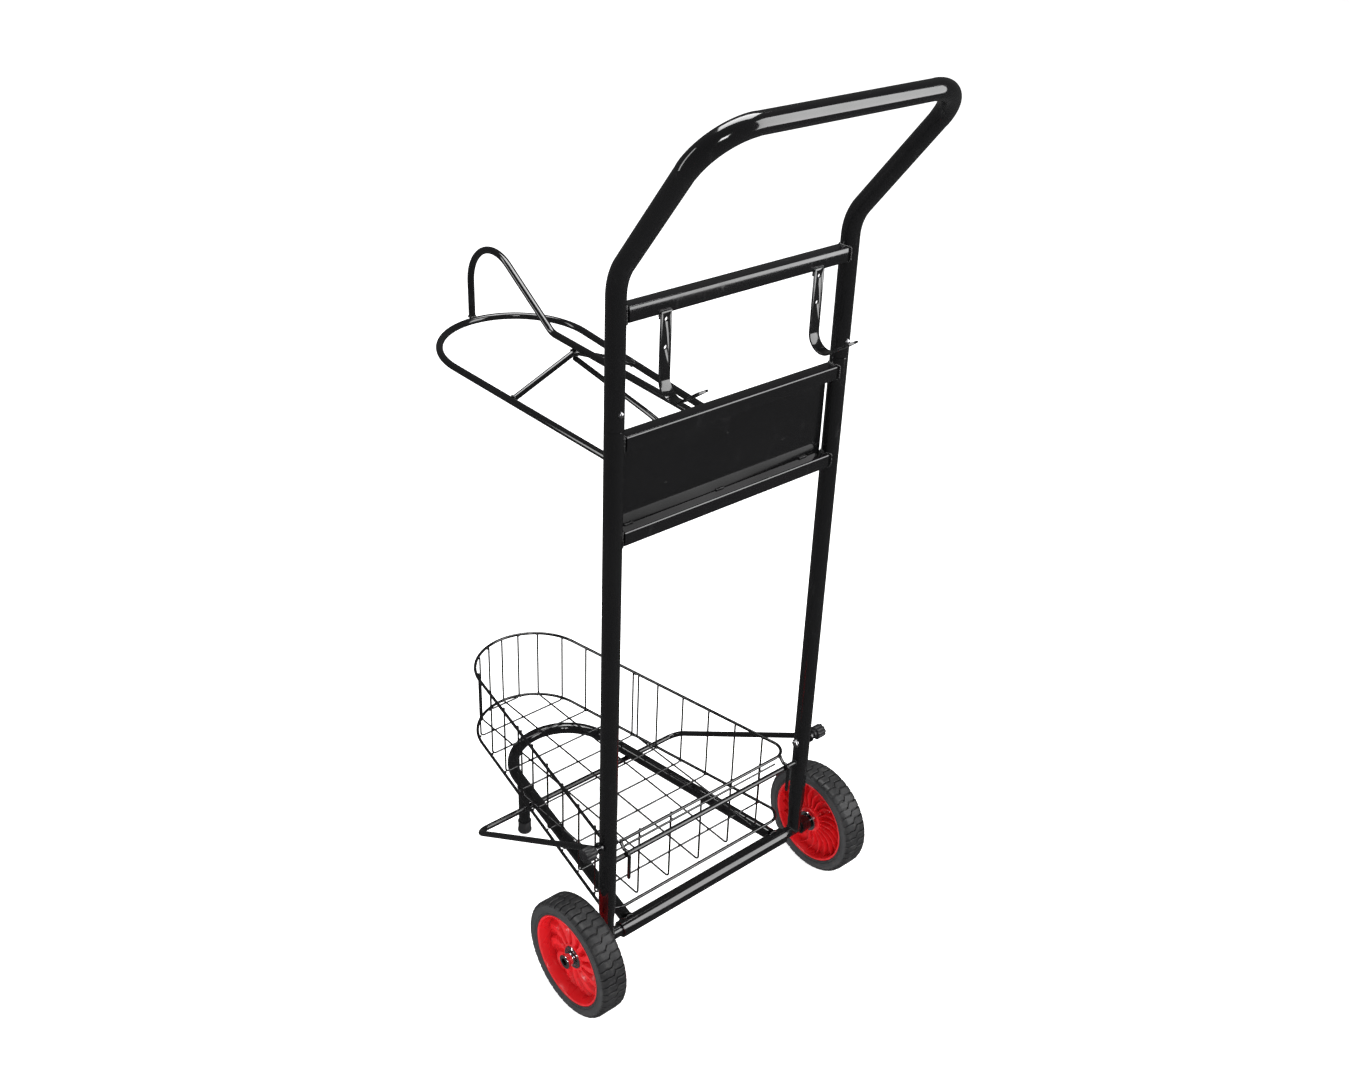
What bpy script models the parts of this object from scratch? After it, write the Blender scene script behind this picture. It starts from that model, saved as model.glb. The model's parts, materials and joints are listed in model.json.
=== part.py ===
"""A two-wheeled saddle cart: tube frame, saddle rack, wire basket, two bridle hooks and a toe loop.

Units are metres and +Z is up. The cart is built with its axle over the line y = 0: the load side is -Y,
the person pushing it stands on the +Y side, and left (+X) is that person's left hand. At the end the whole
cart is moved so that the origin lies on the floor below the middle of its outline.
"""
import bmesh
import bpy
from math import acos, atan2, cos, hypot, pi, radians, sin, sqrt, tan
from mathutils import Vector

for old in list(bpy.data.objects):
    bpy.data.objects.remove(old)

# ---- driving dimensions -------------------------------------------------------------------------------
GAP = 0.0003                 # space left between pieces that touch or are welded
RUN = 0.0004                 # radial space of a piece that turns or slides on another
TUBE_R = 0.0125              # frame tube, outside radius
WALL = 0.0015                # tube wall
TUBE_SIDES = 12
WIRE_SIDES = 6

FRAME_HALF = 0.190           # middle plane of each upright
JOINT_Z = 0.907              # where the handle section plugs into the uprights
AXLE_Z = 0.090
AXLE_R = 0.0088
AXLE_BORE_R = 0.006
FOOT_TUBE_R = 0.0105         # upright radius where it is drawn in above the axle
FOOT_TUBE_Z = 0.128
FULL_TUBE_Z = 0.160

KINK_Z = 1.095               # the handle legs lean back above this height
HANDLE_Y = 0.153
HANDLE_Z = 1.289
HANDLE_HALF = 0.196
KINK_BEND_R = 0.070
CORNER_BEND_R = 0.062

RAIL = 0.020                 # square rail, outside
RAIL_WALL = 0.0015
RAIL_CORNER = 0.0015
UPPER_RAIL_Z = 1.0495
MIDDLE_RAIL_Z = 0.887
LOWER_RAIL_Z = 0.757
PANEL_HALF = 0.1752
PANEL_THICK = 0.0015
PANEL_REAR_Y = -0.0062

SLEEVE_BELOW = 0.050         # plug sleeve length below and above the joint
SLEEVE_ABOVE = 0.075
BUTTON_Z = 0.930
BUTTON_R = 0.0038
BUTTON_FLANGE_R = 0.0046
BUTTON_FLANGE_THICK = 0.0022
BUTTON_TRAVEL = 0.003

HOOK_X = 0.125
HOOK_WIDE = 0.017
HOOK_THICK = 0.003
HOOK_TOP_Z = 1.044
HOOK_LOW_Z = 0.9165
HOOK_TIP_Y = 0.080
HOOK_TIP_Z = 0.9665
HOOK_BEND_R = 0.022
HOOK_HOLE_R = 0.0028
HOOK_HOLE_Z = (1.034, 0.999)

RACK_R = 0.00525             # saddle rack rod
RACK_Z = 0.7862              # rack height at the frame
RACK_RISE = 0.0451           # climb per metre towards the front
RACK_HALF = 0.094
RACK_FRONT_R = 0.117
RACK_FRONT_Y = -0.464        # centre of the round front
SPINE_Z = 0.846
SPINE_RISE = 0.031
HORN_FOOT_Y = -0.380         # the spine turns up the slope here
HORN_SLOPE = 0.652
HORN_FRONT_Y = -0.588
HORN_FOOT_BEND_R = 0.030
HORN_TOP_BEND_R = 0.065
BRACE_ROD_R = 0.0045
CROSS_Y = -0.327
CROSS_BEND_R = 0.012
STRUT_R = 0.004
STRUT_RISE = 0.003            # how far the middle of the strut lies above a straight line
STRUT_BEND_R = 0.3
STRUT_FOOT_Z = 0.785

CROSS_ROD_R = 0.004
CROSS_ROD_Z = 0.230

LOOP_R = 0.0095              # toe loop tube
LOOP_HALF = 0.148
LOOP_FRONT_R = 0.090
LOOP_FRONT_Y = -0.348
LOOP_Z = 0.0958
LOOP_RISE = 0.017
SLEEVE_HALF = 0.165          # toe loop sleeve on the axle, half length
LEG_X = 0.089
FOOT_R = 0.0115
FOOT_HIGH = 0.022
FOOT_FLOOR = 0.003

WHEEL_R = 0.090
WHEEL_WIDE = 0.045
SPACER_LONG = 0.0197         # from the upright's foot to the wheel
RIM_R = 0.070
RIM_WIDE = 0.041
BARREL_THICK = 0.003
HUB_R = 0.0205
HUB_BORE_R = 0.0142
FLANGE_R = 0.0172
FLANGE_THICK = 0.0030
HUB_RECESS = 0.0135           # the flange's seat below the rim's outer edge
HUB_LIP = 0.0020
WEB_OUT = -0.0020             # outer face of the web, from the middle of the wheel
WEB_THICK = 0.0025
VANE_THICK = 0.0030
RIB_THICK = 0.0014
VANE_LEAN = 24                # degrees
RIB_LEAN = -30
AXLE_PROUD = 0.0016           # how far the axle stands out of the wheel
END_RING_R = 0.0110
END_RING_LONG = 0.0050
RIM_EDGE = 0.0010             # bevel at the rim's edge, and how far the blades sink into their neighbours
WEB_FILLET = 0.0040
HUB_SHORT = 0.0040            # the hub ends this far inside the rim's inner edge
RIB_END = 0.0070              # and the ribs this far
VANES = 12
RIBS = 20
WHEEL_STEPS = 36

BRACE_R = 0.0045
BRACE_STAND = 0.0050         # from the upright's side to the middle of the rod
BRACE_PIVOT_Z = 0.268
BRACE_FRONT_Y = -0.309
BRACE_FRONT_Z = 0.0855
BRACE_BEND_R = 0.020
EYE_R = 0.009
EYE_THICK = 0.004
BOLT_R = 0.003
BOLT_HEAD_R = 0.0055
BOLT_HEAD_THICK = 0.004
KNOB_R = 0.0108
KNOB_COLLAR_R = 0.0070
KNOB_COLLAR = 0.0040
KNOB_GRIP = 0.0170
KNOB_LOBES = 8
KNOB_BORE_SHARE = 0.7        # how much of the grip's length the bolt hole takes
LOBE_DEPTH = 0.06            # of the grip's radius

BASKET_R = 0.0025            # rim and base ring wire
MESH_R = 0.0015              # basket wall and floor wire
RIM_Z = 0.2455
BASE_Z = 0.117
BASKET_HALF = 0.178
BASKET_REAR_Y = -0.0130
BASKET_FRONT_R = 0.0965
BASKET_FRONT_Y = -0.441
BASKET_CORNER_R = 0.024
MESH_BEND_SHARE = 0.96       # a mesh wire's bend, of the room beside the outer long wires
CROSS_WIRES = 10
CROSS_REAR = 0.0475           # from the rear of the basket to the first cross wire
CROSS_FRONT = 0.0090          # from the front of the basket to the last one
LONG_END = 4.75               # the outer long wires end this many cross wire pitches along the side
REAR_WIRE_DROP = 0.012
REAR_WIRE_HALF = 0.148
BASKET_HOOK_X = 0.157
BASKET_HOOK_R = 0.00275
BASKET_HOOK_END_Z = 0.190

# ---- materials ----------------------------------------------------------------------------------------


def material(name, colour, metallic, roughness):
    made = bpy.data.materials.new(name)
    made.use_nodes = True
    shader = made.node_tree.nodes["Principled BSDF"]
    shader.inputs["Base Color"].default_value = (*colour, 1.0)
    shader.inputs["Metallic"].default_value = metallic
    shader.inputs["Roughness"].default_value = roughness
    return made


BLACK = material("gloss_black_paint", (0.012, 0.012, 0.013), 0.0, 0.15)
CHROME = material("bright_plating", (0.80, 0.80, 0.82), 1.0, 0.12)
RED = material("red_plastic", (0.55, 0.02, 0.02), 0.0, 0.35)
TYRE = material("tyre_rubber", (0.035, 0.035, 0.037), 0.0, 0.75)
RUBBER = material("cap_rubber", (0.02, 0.02, 0.02), 0.0, 0.6)
PLASTIC = material("black_plastic", (0.02, 0.02, 0.022), 0.0, 0.4)
STEEL = material("zinc_steel", (0.6, 0.6, 0.62), 1.0, 0.3)

ROOT = bpy.data.objects.new("cart_root", None)
bpy.context.collection.objects.link(ROOT)


def add(name, mesh, paint, place=(0, 0, 0), turn=(0, 0, 0)):
    """Puts one piece in the scene, on the cart's root."""
    obj = bpy.data.objects.new(name, mesh)
    bpy.context.collection.objects.link(obj)
    if not mesh.materials:
        mesh.materials.append(paint)
    obj.parent = ROOT
    obj.location = place
    obj.rotation_euler = turn
    return obj


def combine(obj, tool, operation):
    """Joins or cuts one piece with a hidden helper shape."""
    tool.hide_render = True
    tool.display_type = "WIRE"
    modifier = obj.modifiers.new(operation.lower(), "BOOLEAN")
    modifier.solver = "EXACT"
    modifier.operation = operation
    modifier.object = tool
    return obj


# ---- shapes -------------------------------------------------------------------------------------------


def circle(radius, sides):
    return [(radius * cos(2 * pi * i / sides), radius * sin(2 * pi * i / sides)) for i in range(sides)]


def rectangle(wide, high, corner):
    """A rectangle with its corners cut off, as section points turning left."""
    w, h = wide / 2, high / 2
    half = [(w, corner - h), (w, h - corner), (w - corner, h), (corner - w, h)]
    return half + [(-x, -y) for x, y in half]


def build_mesh(name, points, faces):
    mesh = bpy.data.meshes.new(name)
    mesh.from_pydata([tuple(p) for p in points], [], faces)
    shape = bmesh.new()
    shape.from_mesh(mesh)
    bmesh.ops.recalc_face_normals(shape, faces=shape.faces)
    shape.to_mesh(mesh)
    shape.free()
    return mesh


def ring_frames(path, closed, across):
    """A place and two section directions for each point of a path."""
    last = len(path) - 1
    frames = []
    for i, point in enumerate(path):
        before = path[i - 1] if i or closed else point
        after = path[(i + 1) % len(path)] if i < last or closed else point
        along = (after - before).normalized()
        across = (across - along * across.dot(along)).normalized()
        frames.append((point, across, along.cross(across)))
    return frames


def sweep(name, path, section, bore=None, closed=False, across=(0, 0, 1), sizes=None):
    """A section carried along a path, hollow if bore is given, with flat ends unless closed."""
    path = [Vector(p) for p in path]
    frames = ring_frames(path, closed, Vector(across))
    sizes = sizes or [1.0] * len(path)
    points = []
    for outline in filter(None, (section, bore)):
        for (place, u, v), size in zip(frames, sizes):
            points += [place + (u * a + v * b) * size for a, b in outline]
    rings, sides, faces = len(path), len(section), []
    for shell in range(2 if bore else 1):
        base = shell * rings * sides
        for r in range(rings if closed else rings - 1):
            for s in range(sides):
                a, b = base + r * sides, base + (r + 1) % rings * sides
                t = (s + 1) % sides
                quad = (a + s, a + t, b + t, b + s)
                faces.append(quad[::-1] if shell else quad)
    if not closed:
        for r in (0, rings - 1):
            outer = [r * sides + s for s in range(sides)]
            if not bore:
                faces.append(outer)
                continue
            inner = [i + rings * sides for i in outer]
            for s in range(sides):
                t = (s + 1) % sides
                faces.append((outer[s], outer[t], inner[t], inner[s]))
    return build_mesh(name, points, faces)


def rod(name, path, radius, sides, **options):
    return sweep(name, path, circle(radius, sides), **options)


def tube(name, path, radius, bore_radius, sides, **options):
    return sweep(name, path, circle(radius, sides), bore=circle(bore_radius, sides), **options)


def lathe(name, profile, steps, ring):
    """A profile of (radius, height) turned about Z: a ring, or a solid whose ends lie on the axis."""
    body = profile if ring else profile[1:-1]
    points = [(r * cos(2 * pi * s / steps), r * sin(2 * pi * s / steps), h)
              for r, h in body for s in range(steps)]
    faces = []
    rows = len(body)
    for i in range(rows if ring else rows - 1):
        j = (i + 1) % rows
        for s in range(steps):
            t = (s + 1) % steps
            faces.append((i * steps + s, i * steps + t, j * steps + t, j * steps + s))
    if not ring:
        for row, (_, height) in ((0, profile[0]), (rows - 1, profile[-1])):
            points.append((0, 0, height))
            for s in range(steps):
                faces.append((row * steps + s, row * steps + (s + 1) % steps, len(points) - 1))
    return build_mesh(name, points, faces)


def bent(corners, radii, steps):
    """The corner points with each inner corner rounded to its own radius."""
    corners = [Vector(c) for c in corners]
    path = [corners[0]]
    for i, radius in enumerate(radii, start=1):
        corner = corners[i]
        back = (corners[i - 1] - corner).normalized()
        on = (corners[i + 1] - corner).normalized()
        half = back.angle(on) / 2
        centre = corner + (back + on).normalized() * (radius / sin(half))
        first = corner + back * (radius / tan(half)) - centre
        final = corner + on * (radius / tan(half)) - centre
        sweep_angle = first.angle(final)
        for k in range(steps + 1):
            part = sweep_angle * k / steps
            path.append(centre + (first * sin(sweep_angle - part) + final * sin(part)) / sin(sweep_angle))
    path.append(corners[-1])
    return path


def taper_of(half, at_y, front_r, front_y):
    """The lean of a side line that starts at (half, at_y) and meets the round front without a kink."""
    return acos(front_r / hypot(half, at_y - front_y)) - atan2(at_y - front_y, half)


def front_arc(front_r, front_y, taper, steps):
    """Plan points round the front, from the left side to the right side."""
    start, end = -taper, taper - pi
    turns = [start + (end - start) * i / steps for i in range(steps + 1)]
    return [(front_r * cos(a), front_y + front_r * sin(a)) for a in turns]


# ---- frame --------------------------------------------------------------------------------------------
SIDES = (("left", 1), ("right", -1))
BORE_R = TUBE_R - WALL
SLEEVE_R = BORE_R - GAP


def pin(name, start, end, radius, sides=16):
    """A hidden straight round cutter."""
    return add(name, rod(name, (start, end), radius, sides, across=(0.3, 0.5, 0.7)), STEEL)


def upright(side, s):
    heights = (AXLE_Z + AXLE_R + GAP, FOOT_TUBE_Z, FULL_TUBE_Z, JOINT_Z - GAP / 2)
    sizes = (FOOT_TUBE_R / TUBE_R, FOOT_TUBE_R / TUBE_R, 1.0, 1.0)
    mesh = tube("upright", [(0, 0, z) for z in heights], TUBE_R, BORE_R, TUBE_SIDES,
                across=(1, 0, 0), sizes=sizes)
    obj = add("upright_" + side, mesh, BLACK, (s * FRAME_HALF, 0, 0))
    hole = pin("bolt_hole_" + side, (s * (FRAME_HALF - 2 * TUBE_R), 0, BRACE_PIVOT_Z),
               (s * (FRAME_HALF + 2 * TUBE_R), 0, BRACE_PIVOT_Z), BOLT_R + GAP)
    return combine(obj, hole, "DIFFERENCE")


def button_cutter(name, s):
    return pin(name, (s * FRAME_HALF, BORE_R / 4, BUTTON_Z), (s * FRAME_HALF, 2 * TUBE_R, BUTTON_Z),
               BUTTON_R + GAP)


def handle_tube():
    legs = [(FRAME_HALF, 0, JOINT_Z + GAP / 2), (FRAME_HALF, 0, KINK_Z),
            (HANDLE_HALF, HANDLE_Y, HANDLE_Z)]
    corners = legs + [(-x, y, z) for x, y, z in reversed(legs)]
    path = bent(corners, (KINK_BEND_R, CORNER_BEND_R, CORNER_BEND_R, KINK_BEND_R), 5)
    obj = add("handle_tube", tube("handle_tube", path, TUBE_R, BORE_R, TUBE_SIDES, across=(0, 1, 0)),
              BLACK)
    for side, s in SIDES:
        combine(obj, button_cutter("handle_hole_" + side, s), "DIFFERENCE")


def joint_sleeve(side, s):
    ends = [(s * FRAME_HALF, 0, JOINT_Z - SLEEVE_BELOW), (s * FRAME_HALF, 0, JOINT_Z + SLEEVE_ABOVE)]
    mesh = tube("sleeve", ends, SLEEVE_R, SLEEVE_R - WALL, TUBE_SIDES, across=(1, 0, 0))
    obj = add("joint_sleeve_" + side, mesh, STEEL)
    combine(obj, button_cutter("sleeve_hole_" + side, s), "DIFFERENCE")


def snap_button(side, s):
    """A domed pin with a collar inside the sleeve that stops it from coming out."""
    inside = sqrt((SLEEVE_R - WALL) ** 2 - BUTTON_FLANGE_R ** 2) - GAP
    seat = inside * cos(pi / TUBE_SIDES)
    dome = BUTTON_TRAVEL
    profile = [(0, seat - BUTTON_FLANGE_THICK), (BUTTON_FLANGE_R, seat - BUTTON_FLANGE_THICK),
               (BUTTON_FLANGE_R, seat), (BUTTON_R, seat), (BUTTON_R, TUBE_R + 0.3 * dome),
               (0.75 * BUTTON_R, TUBE_R + 0.75 * dome), (0.4 * BUTTON_R, TUBE_R + 0.95 * dome),
               (0, TUBE_R + dome)]
    mesh = lathe("button", profile, 12, ring=False)
    add("snap_button_" + side, mesh, CHROME, (s * FRAME_HALF, 0, BUTTON_Z), (-pi / 2, 0, 0))


def rail(name, z):
    half = FRAME_HALF - TUBE_R - GAP
    section = rectangle(RAIL, RAIL, RAIL_CORNER)
    bore = rectangle(RAIL - 2 * RAIL_WALL, RAIL - 2 * RAIL_WALL, RAIL_CORNER / 2)
    mesh = sweep(name, [(-half, 0, z), (half, 0, z)], section, bore=bore)
    add(name, mesh, BLACK)


def back_panel():
    low = LOWER_RAIL_Z + RAIL / 2 + GAP
    high = MIDDLE_RAIL_Z - RAIL / 2 - GAP
    section = rectangle(high - low, PANEL_THICK, PANEL_THICK / 5)
    middle = (low + high) / 2
    y = PANEL_REAR_Y - PANEL_THICK / 2
    add("back_panel", sweep("panel", [(-PANEL_HALF, y, middle), (PANEL_HALF, y, middle)], section), BLACK)


def bridle_hook(side, s):
    """A flat strip bent to a J, screwed to the rear of the upper rail."""
    y = RAIL / 2 + GAP + HOOK_THICK / 2
    corners = [(s * HOOK_X, y, HOOK_TOP_Z), (s * HOOK_X, y, HOOK_LOW_Z),
               (s * HOOK_X, HOOK_TIP_Y, HOOK_TIP_Z)]
    section = rectangle(HOOK_WIDE, HOOK_THICK, HOOK_THICK / 5)
    mesh = sweep("hook_" + side, bent(corners, (HOOK_BEND_R,), 7), section, across=(1, 0, 0))
    obj = add("hook_" + side, mesh, BLACK)
    for i, z in enumerate(HOOK_HOLE_Z):
        start, end = (s * HOOK_X, y - HOOK_THICK, z), (s * HOOK_X, y + HOOK_THICK, z)
        combine(obj, pin("hook_hole_%s_%d" % (side, i), start, end, HOOK_HOLE_R), "DIFFERENCE")


# ---- saddle rack --------------------------------------------------------------------------------------
PANEL_FRONT_Y = PANEL_REAR_Y - PANEL_THICK


def rack_height(y):
    return RACK_Z - RACK_RISE * y


def spine_height(y):
    return SPINE_Z - SPINE_RISE * y


def rack_loop():
    taper = taper_of(RACK_HALF, 0, RACK_FRONT_R, RACK_FRONT_Y)
    start_y = PANEL_FRONT_Y - GAP - RACK_R * RACK_RISE
    plan = [(RACK_HALF, start_y)] + front_arc(RACK_FRONT_R, RACK_FRONT_Y, taper, 18)
    plan += [(-RACK_HALF, start_y)]
    path = [(x, y, rack_height(y)) for x, y in plan]
    add("rack_loop", rod("rack_loop", path, RACK_R, 10), BLACK)


def rack_spine():
    """Runs out from the panel, climbs to the horn, and comes down on the front of the loop."""
    start_y = PANEL_FRONT_Y - GAP - RACK_R * SPINE_RISE
    front_z = rack_height(RACK_FRONT_Y - RACK_FRONT_R) + RACK_R + GAP
    foot_z = spine_height(HORN_FOOT_Y)
    corners = [(0, start_y, spine_height(start_y)), (0, HORN_FOOT_Y, foot_z),
               (0, HORN_FRONT_Y, foot_z + HORN_SLOPE * (HORN_FOOT_Y - HORN_FRONT_Y)),
               (0, HORN_FRONT_Y, front_z)]
    path = bent(corners, (HORN_FOOT_BEND_R, HORN_TOP_BEND_R), 8)
    add("rack_spine", rod("rack_spine", path, RACK_R, 10, across=(1, 0, 0)), BLACK)


def rack_cross_brace():
    """An upturned V below the spine, standing on the two sides of the loop."""
    taper = taper_of(RACK_HALF, 0, RACK_FRONT_R, RACK_FRONT_Y)
    side_x = RACK_FRONT_R / cos(taper) + (CROSS_Y - RACK_FRONT_Y) * tan(taper)
    side = Vector((side_x, CROSS_Y, rack_height(CROSS_Y)))
    peak = Vector((0, CROSS_Y, spine_height(CROSS_Y) - RACK_R / cos(SPINE_RISE) - GAP - BRACE_ROD_R))
    lift = 0.0
    for _ in range(2):
        corner = peak + Vector((0, 0, lift))
        foot = side + (corner - side).normalized() * (RACK_R + GAP)
        mirrored = Vector((-foot.x, foot.y, foot.z))
        path = bent([foot, corner, mirrored], (CROSS_BEND_R,), 4)
        lift = peak.z - max(point.z for point in path)
    add("rack_cross_brace", rod("rack_cross_brace", path, BRACE_ROD_R, 8, across=(0, 1, 0)), BLACK)
    return min(peak.z, max(point.z for point in path))


def rack_strut(peak_z):
    """Props the V from the panel."""
    lean = atan2(peak_z - STRUT_FOOT_Z, -CROSS_Y)
    top = Vector((0, CROSS_Y, peak_z - BRACE_ROD_R - GAP - STRUT_R / cos(lean)))
    middle = Vector((0, (CROSS_Y + PANEL_FRONT_Y) / 2, (top.z + STRUT_FOOT_Z) / 2 + STRUT_RISE))
    slope = (middle.z - STRUT_FOOT_Z) / (PANEL_FRONT_Y - middle.y)
    foot = Vector((0, PANEL_FRONT_Y - GAP - STRUT_R * slope, STRUT_FOOT_Z))
    mesh = rod("rack_strut", bent([top, middle, foot], (STRUT_BEND_R,), 3), STRUT_R, 8, across=(1, 0, 0))
    add("rack_strut", mesh, BLACK)


# ---- axle, toe loop and feet --------------------------------------------------------------------------


def cross_rod():
    half = FRAME_HALF - TUBE_R - GAP
    mesh = rod("cross_rod", [(-half, 0, CROSS_ROD_Z), (half, 0, CROSS_ROD_Z)], CROSS_ROD_R, 10)
    add("cross_rod", mesh, BLACK)


FLOOR_Z = AXLE_Z - WHEEL_R
WHEEL_INNER_X = FRAME_HALF + FOOT_TUBE_R + SPACER_LONG
WHEEL_X = WHEEL_INNER_X + WHEEL_WIDE / 2
WHEEL_OUTER_X = WHEEL_INNER_X + WHEEL_WIDE
HUB_SEAT = RIM_WIDE / 2 - HUB_RECESS
AXLE_END_X = WHEEL_OUTER_X + AXLE_PROUD


def axle():
    ends = [(-AXLE_END_X, 0, AXLE_Z), (AXLE_END_X, 0, AXLE_Z)]
    add("axle", tube("axle", ends, AXLE_R, AXLE_BORE_R, 20), CHROME)


def platform_sleeve():
    ends = [(-SLEEVE_HALF, 0, AXLE_Z), (SLEEVE_HALF, 0, AXLE_Z)]
    add("platform_sleeve", tube("platform_sleeve", ends, TUBE_R, AXLE_R + GAP, 20), BLACK)


def loop_height(y):
    return LOOP_Z - LOOP_RISE * y


def toe_loop():
    taper = taper_of(LOOP_HALF, 0, LOOP_FRONT_R, LOOP_FRONT_Y)
    start_y = -TUBE_R - GAP - LOOP_R * sin(taper)
    side_x = LOOP_FRONT_R / cos(taper) + (start_y - LOOP_FRONT_Y) * tan(taper)
    plan = [(side_x, start_y)] + front_arc(LOOP_FRONT_R, LOOP_FRONT_Y, taper, 16) + [(-side_x, start_y)]
    path = [(x, y, loop_height(y)) for x, y in plan]
    add("toe_loop", tube("toe_loop", path, LOOP_R, LOOP_R - WALL, 12), BLACK)


def toe_leg(side, s):
    top = loop_height(LOOP_FRONT_Y) - LOOP_R - GAP
    ends = [(0, 0, FLOOR_Z + FOOT_FLOOR + GAP), (0, 0, top)]
    mesh = tube("toe_leg", ends, LOOP_R, LOOP_R - WALL, 12, across=(1, 0, 0))
    add("toe_leg_" + side, mesh, BLACK, (s * LEG_X, LOOP_FRONT_Y, 0))


def foot_cap(side, s):
    edge = 0.001
    inner = LOOP_R + GAP
    profile = [(0, 0), (FOOT_R - edge, 0), (FOOT_R, edge), (FOOT_R, FOOT_HIGH - edge),
               (FOOT_R - edge / 2, FOOT_HIGH), (inner, FOOT_HIGH), (inner, FOOT_FLOOR), (0, FOOT_FLOOR)]
    mesh = lathe("foot_cap", profile, 16, ring=False)
    add("foot_cap_" + side, mesh, RUBBER, (s * LEG_X, LOOP_FRONT_Y, FLOOR_Z))


# ---- wheels -------------------------------------------------------------------------------------------


def on_axle(s, x):
    """Place and turn of a piece whose own +Z points outwards along the axle."""
    return (s * x, 0, AXLE_Z), (0, s * pi / 2, 0)


def tyre(side, s):
    half = WHEEL_WIDE / 2
    bead = RIM_R + GAP
    crown = WHEEL_R
    outside = [(bead, 0.88 * half), (bead + 0.004, half), (crown - 0.006, half), (crown - 0.0015, 0.90 * half),
               (crown, 0.55 * half)]
    groove = [(crown, 0.30 * half), (crown - 0.002, 0.20 * half)]
    upper = outside + groove
    profile = upper + [(r, -h) for r, h in reversed(upper)]
    place, turn = on_axle(s, WHEEL_X)
    add("tyre_" + side, lathe("tyre", profile, WHEEL_STEPS, ring=True), TYRE, place, turn)


def vane(index, count, thick, low, high, lean):
    """One blade from the hub to the barrel, leaning by the angle lean along its way out."""
    inner, outer = HUB_R - RIM_EDGE, RIM_R - BARREL_THICK / 2
    base = 2 * pi * index / count
    corners = []
    for step in range(4):
        r = inner + (outer - inner) * step / 3
        a = base + lean * (step / 3) ** 2
        corners.append((r * cos(a), r * sin(a), (low + high) / 2))
    w, h = thick / 2, (high - low) / 2
    return sweep("vane", corners, [(w, -h), (w, h), (-w, h), (-w, -h)], across=(-sin(base), cos(base), 0))


def rim(side, s):
    """Hub, dished web and barrel in one moulding, with broad vanes outside and fine ribs inside."""
    half = RIM_WIDE / 2
    face = HUB_SEAT + HUB_LIP
    web_in = WEB_OUT - WEB_THICK
    inside = RIM_R - BARREL_THICK
    profile = [(HUB_BORE_R, HUB_SEAT), (FLANGE_R + RUN, HUB_SEAT), (FLANGE_R + RUN, face), (HUB_R, face),
               (HUB_R, WEB_OUT + WEB_FILLET), (inside, WEB_OUT), (inside, half - RIM_EDGE), (RIM_R, half),
               (RIM_R, -half), (inside, RIM_EDGE - half), (inside, web_in), (HUB_R, web_in),
               (HUB_R, HUB_SHORT - half), (HUB_BORE_R, HUB_SHORT - half)]
    place, turn = on_axle(s, WHEEL_X)
    obj = add("rim_" + side, lathe("rim", profile, WHEEL_STEPS, ring=True), RED, place, turn)
    blades = bmesh.new()
    for i in range(VANES):
        top = HUB_SEAT + RIM_EDGE
        blades.from_mesh(vane(i, VANES, VANE_THICK, web_in + RIM_EDGE, top, radians(VANE_LEAN)))
    for i in range(RIBS):
        low = RIB_END - half
        blades.from_mesh(vane(i, RIBS, RIB_THICK, low, WEB_OUT - RIM_EDGE, radians(RIB_LEAN)))
    bmesh.ops.recalc_face_normals(blades, faces=blades.faces)
    mesh = bpy.data.meshes.new("blades")
    blades.to_mesh(mesh)
    blades.free()
    combine(obj, add("rim_blades_" + side, mesh, RED, place, turn), "UNION")


def hub_bushing(side, s):
    """Steel bushing in the hub: a stepped flange on the outside and a plain end against the spacer."""
    bore = AXLE_R + RUN
    body = HUB_BORE_R - GAP
    under = HUB_SEAT + GAP
    outer_end = under + FLANGE_THICK
    step = outer_end - FLANGE_THICK / 2
    edge = FLANGE_THICK / 3
    profile = [(bore, step), (body - edge, step), (body - edge, outer_end), (FLANGE_R - edge, outer_end),
               (FLANGE_R, outer_end - edge), (FLANGE_R, under), (body, under), (body, -WHEEL_WIDE / 2),
               (bore, -WHEEL_WIDE / 2)]
    place, turn = on_axle(s, WHEEL_X)
    add("hub_bushing_" + side, lathe("hub_bushing", profile, 24, ring=True), CHROME, place, turn)


def wheel_spacer(side, s):
    ends = [(s * (FRAME_HALF + FOOT_TUBE_R + GAP), 0, AXLE_Z), (s * (WHEEL_INNER_X - GAP), 0, AXLE_Z)]
    add("wheel_spacer_" + side, tube("wheel_spacer", ends, TUBE_R, AXLE_R + GAP, 20), BLACK)


def axle_clip(side, s):
    """Ring fixed on the end of the axle, which keeps the wheel from coming off."""
    inner = AXLE_R + GAP
    high = AXLE_END_X - WHEEL_X
    low = high - END_RING_LONG
    profile = [(inner, low), (END_RING_R, low), (END_RING_R, high), (inner, high)]
    place, turn = on_axle(s, WHEEL_X)
    add("axle_clip_" + side, lathe("axle_clip", profile, 20, ring=True), CHROME, place, turn)


# ---- brace and knobs ----------------------------------------------------------------------------------
EYE_IN_X = FRAME_HALF + TUBE_R + GAP
BRACE_X = EYE_IN_X + BRACE_STAND


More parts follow.
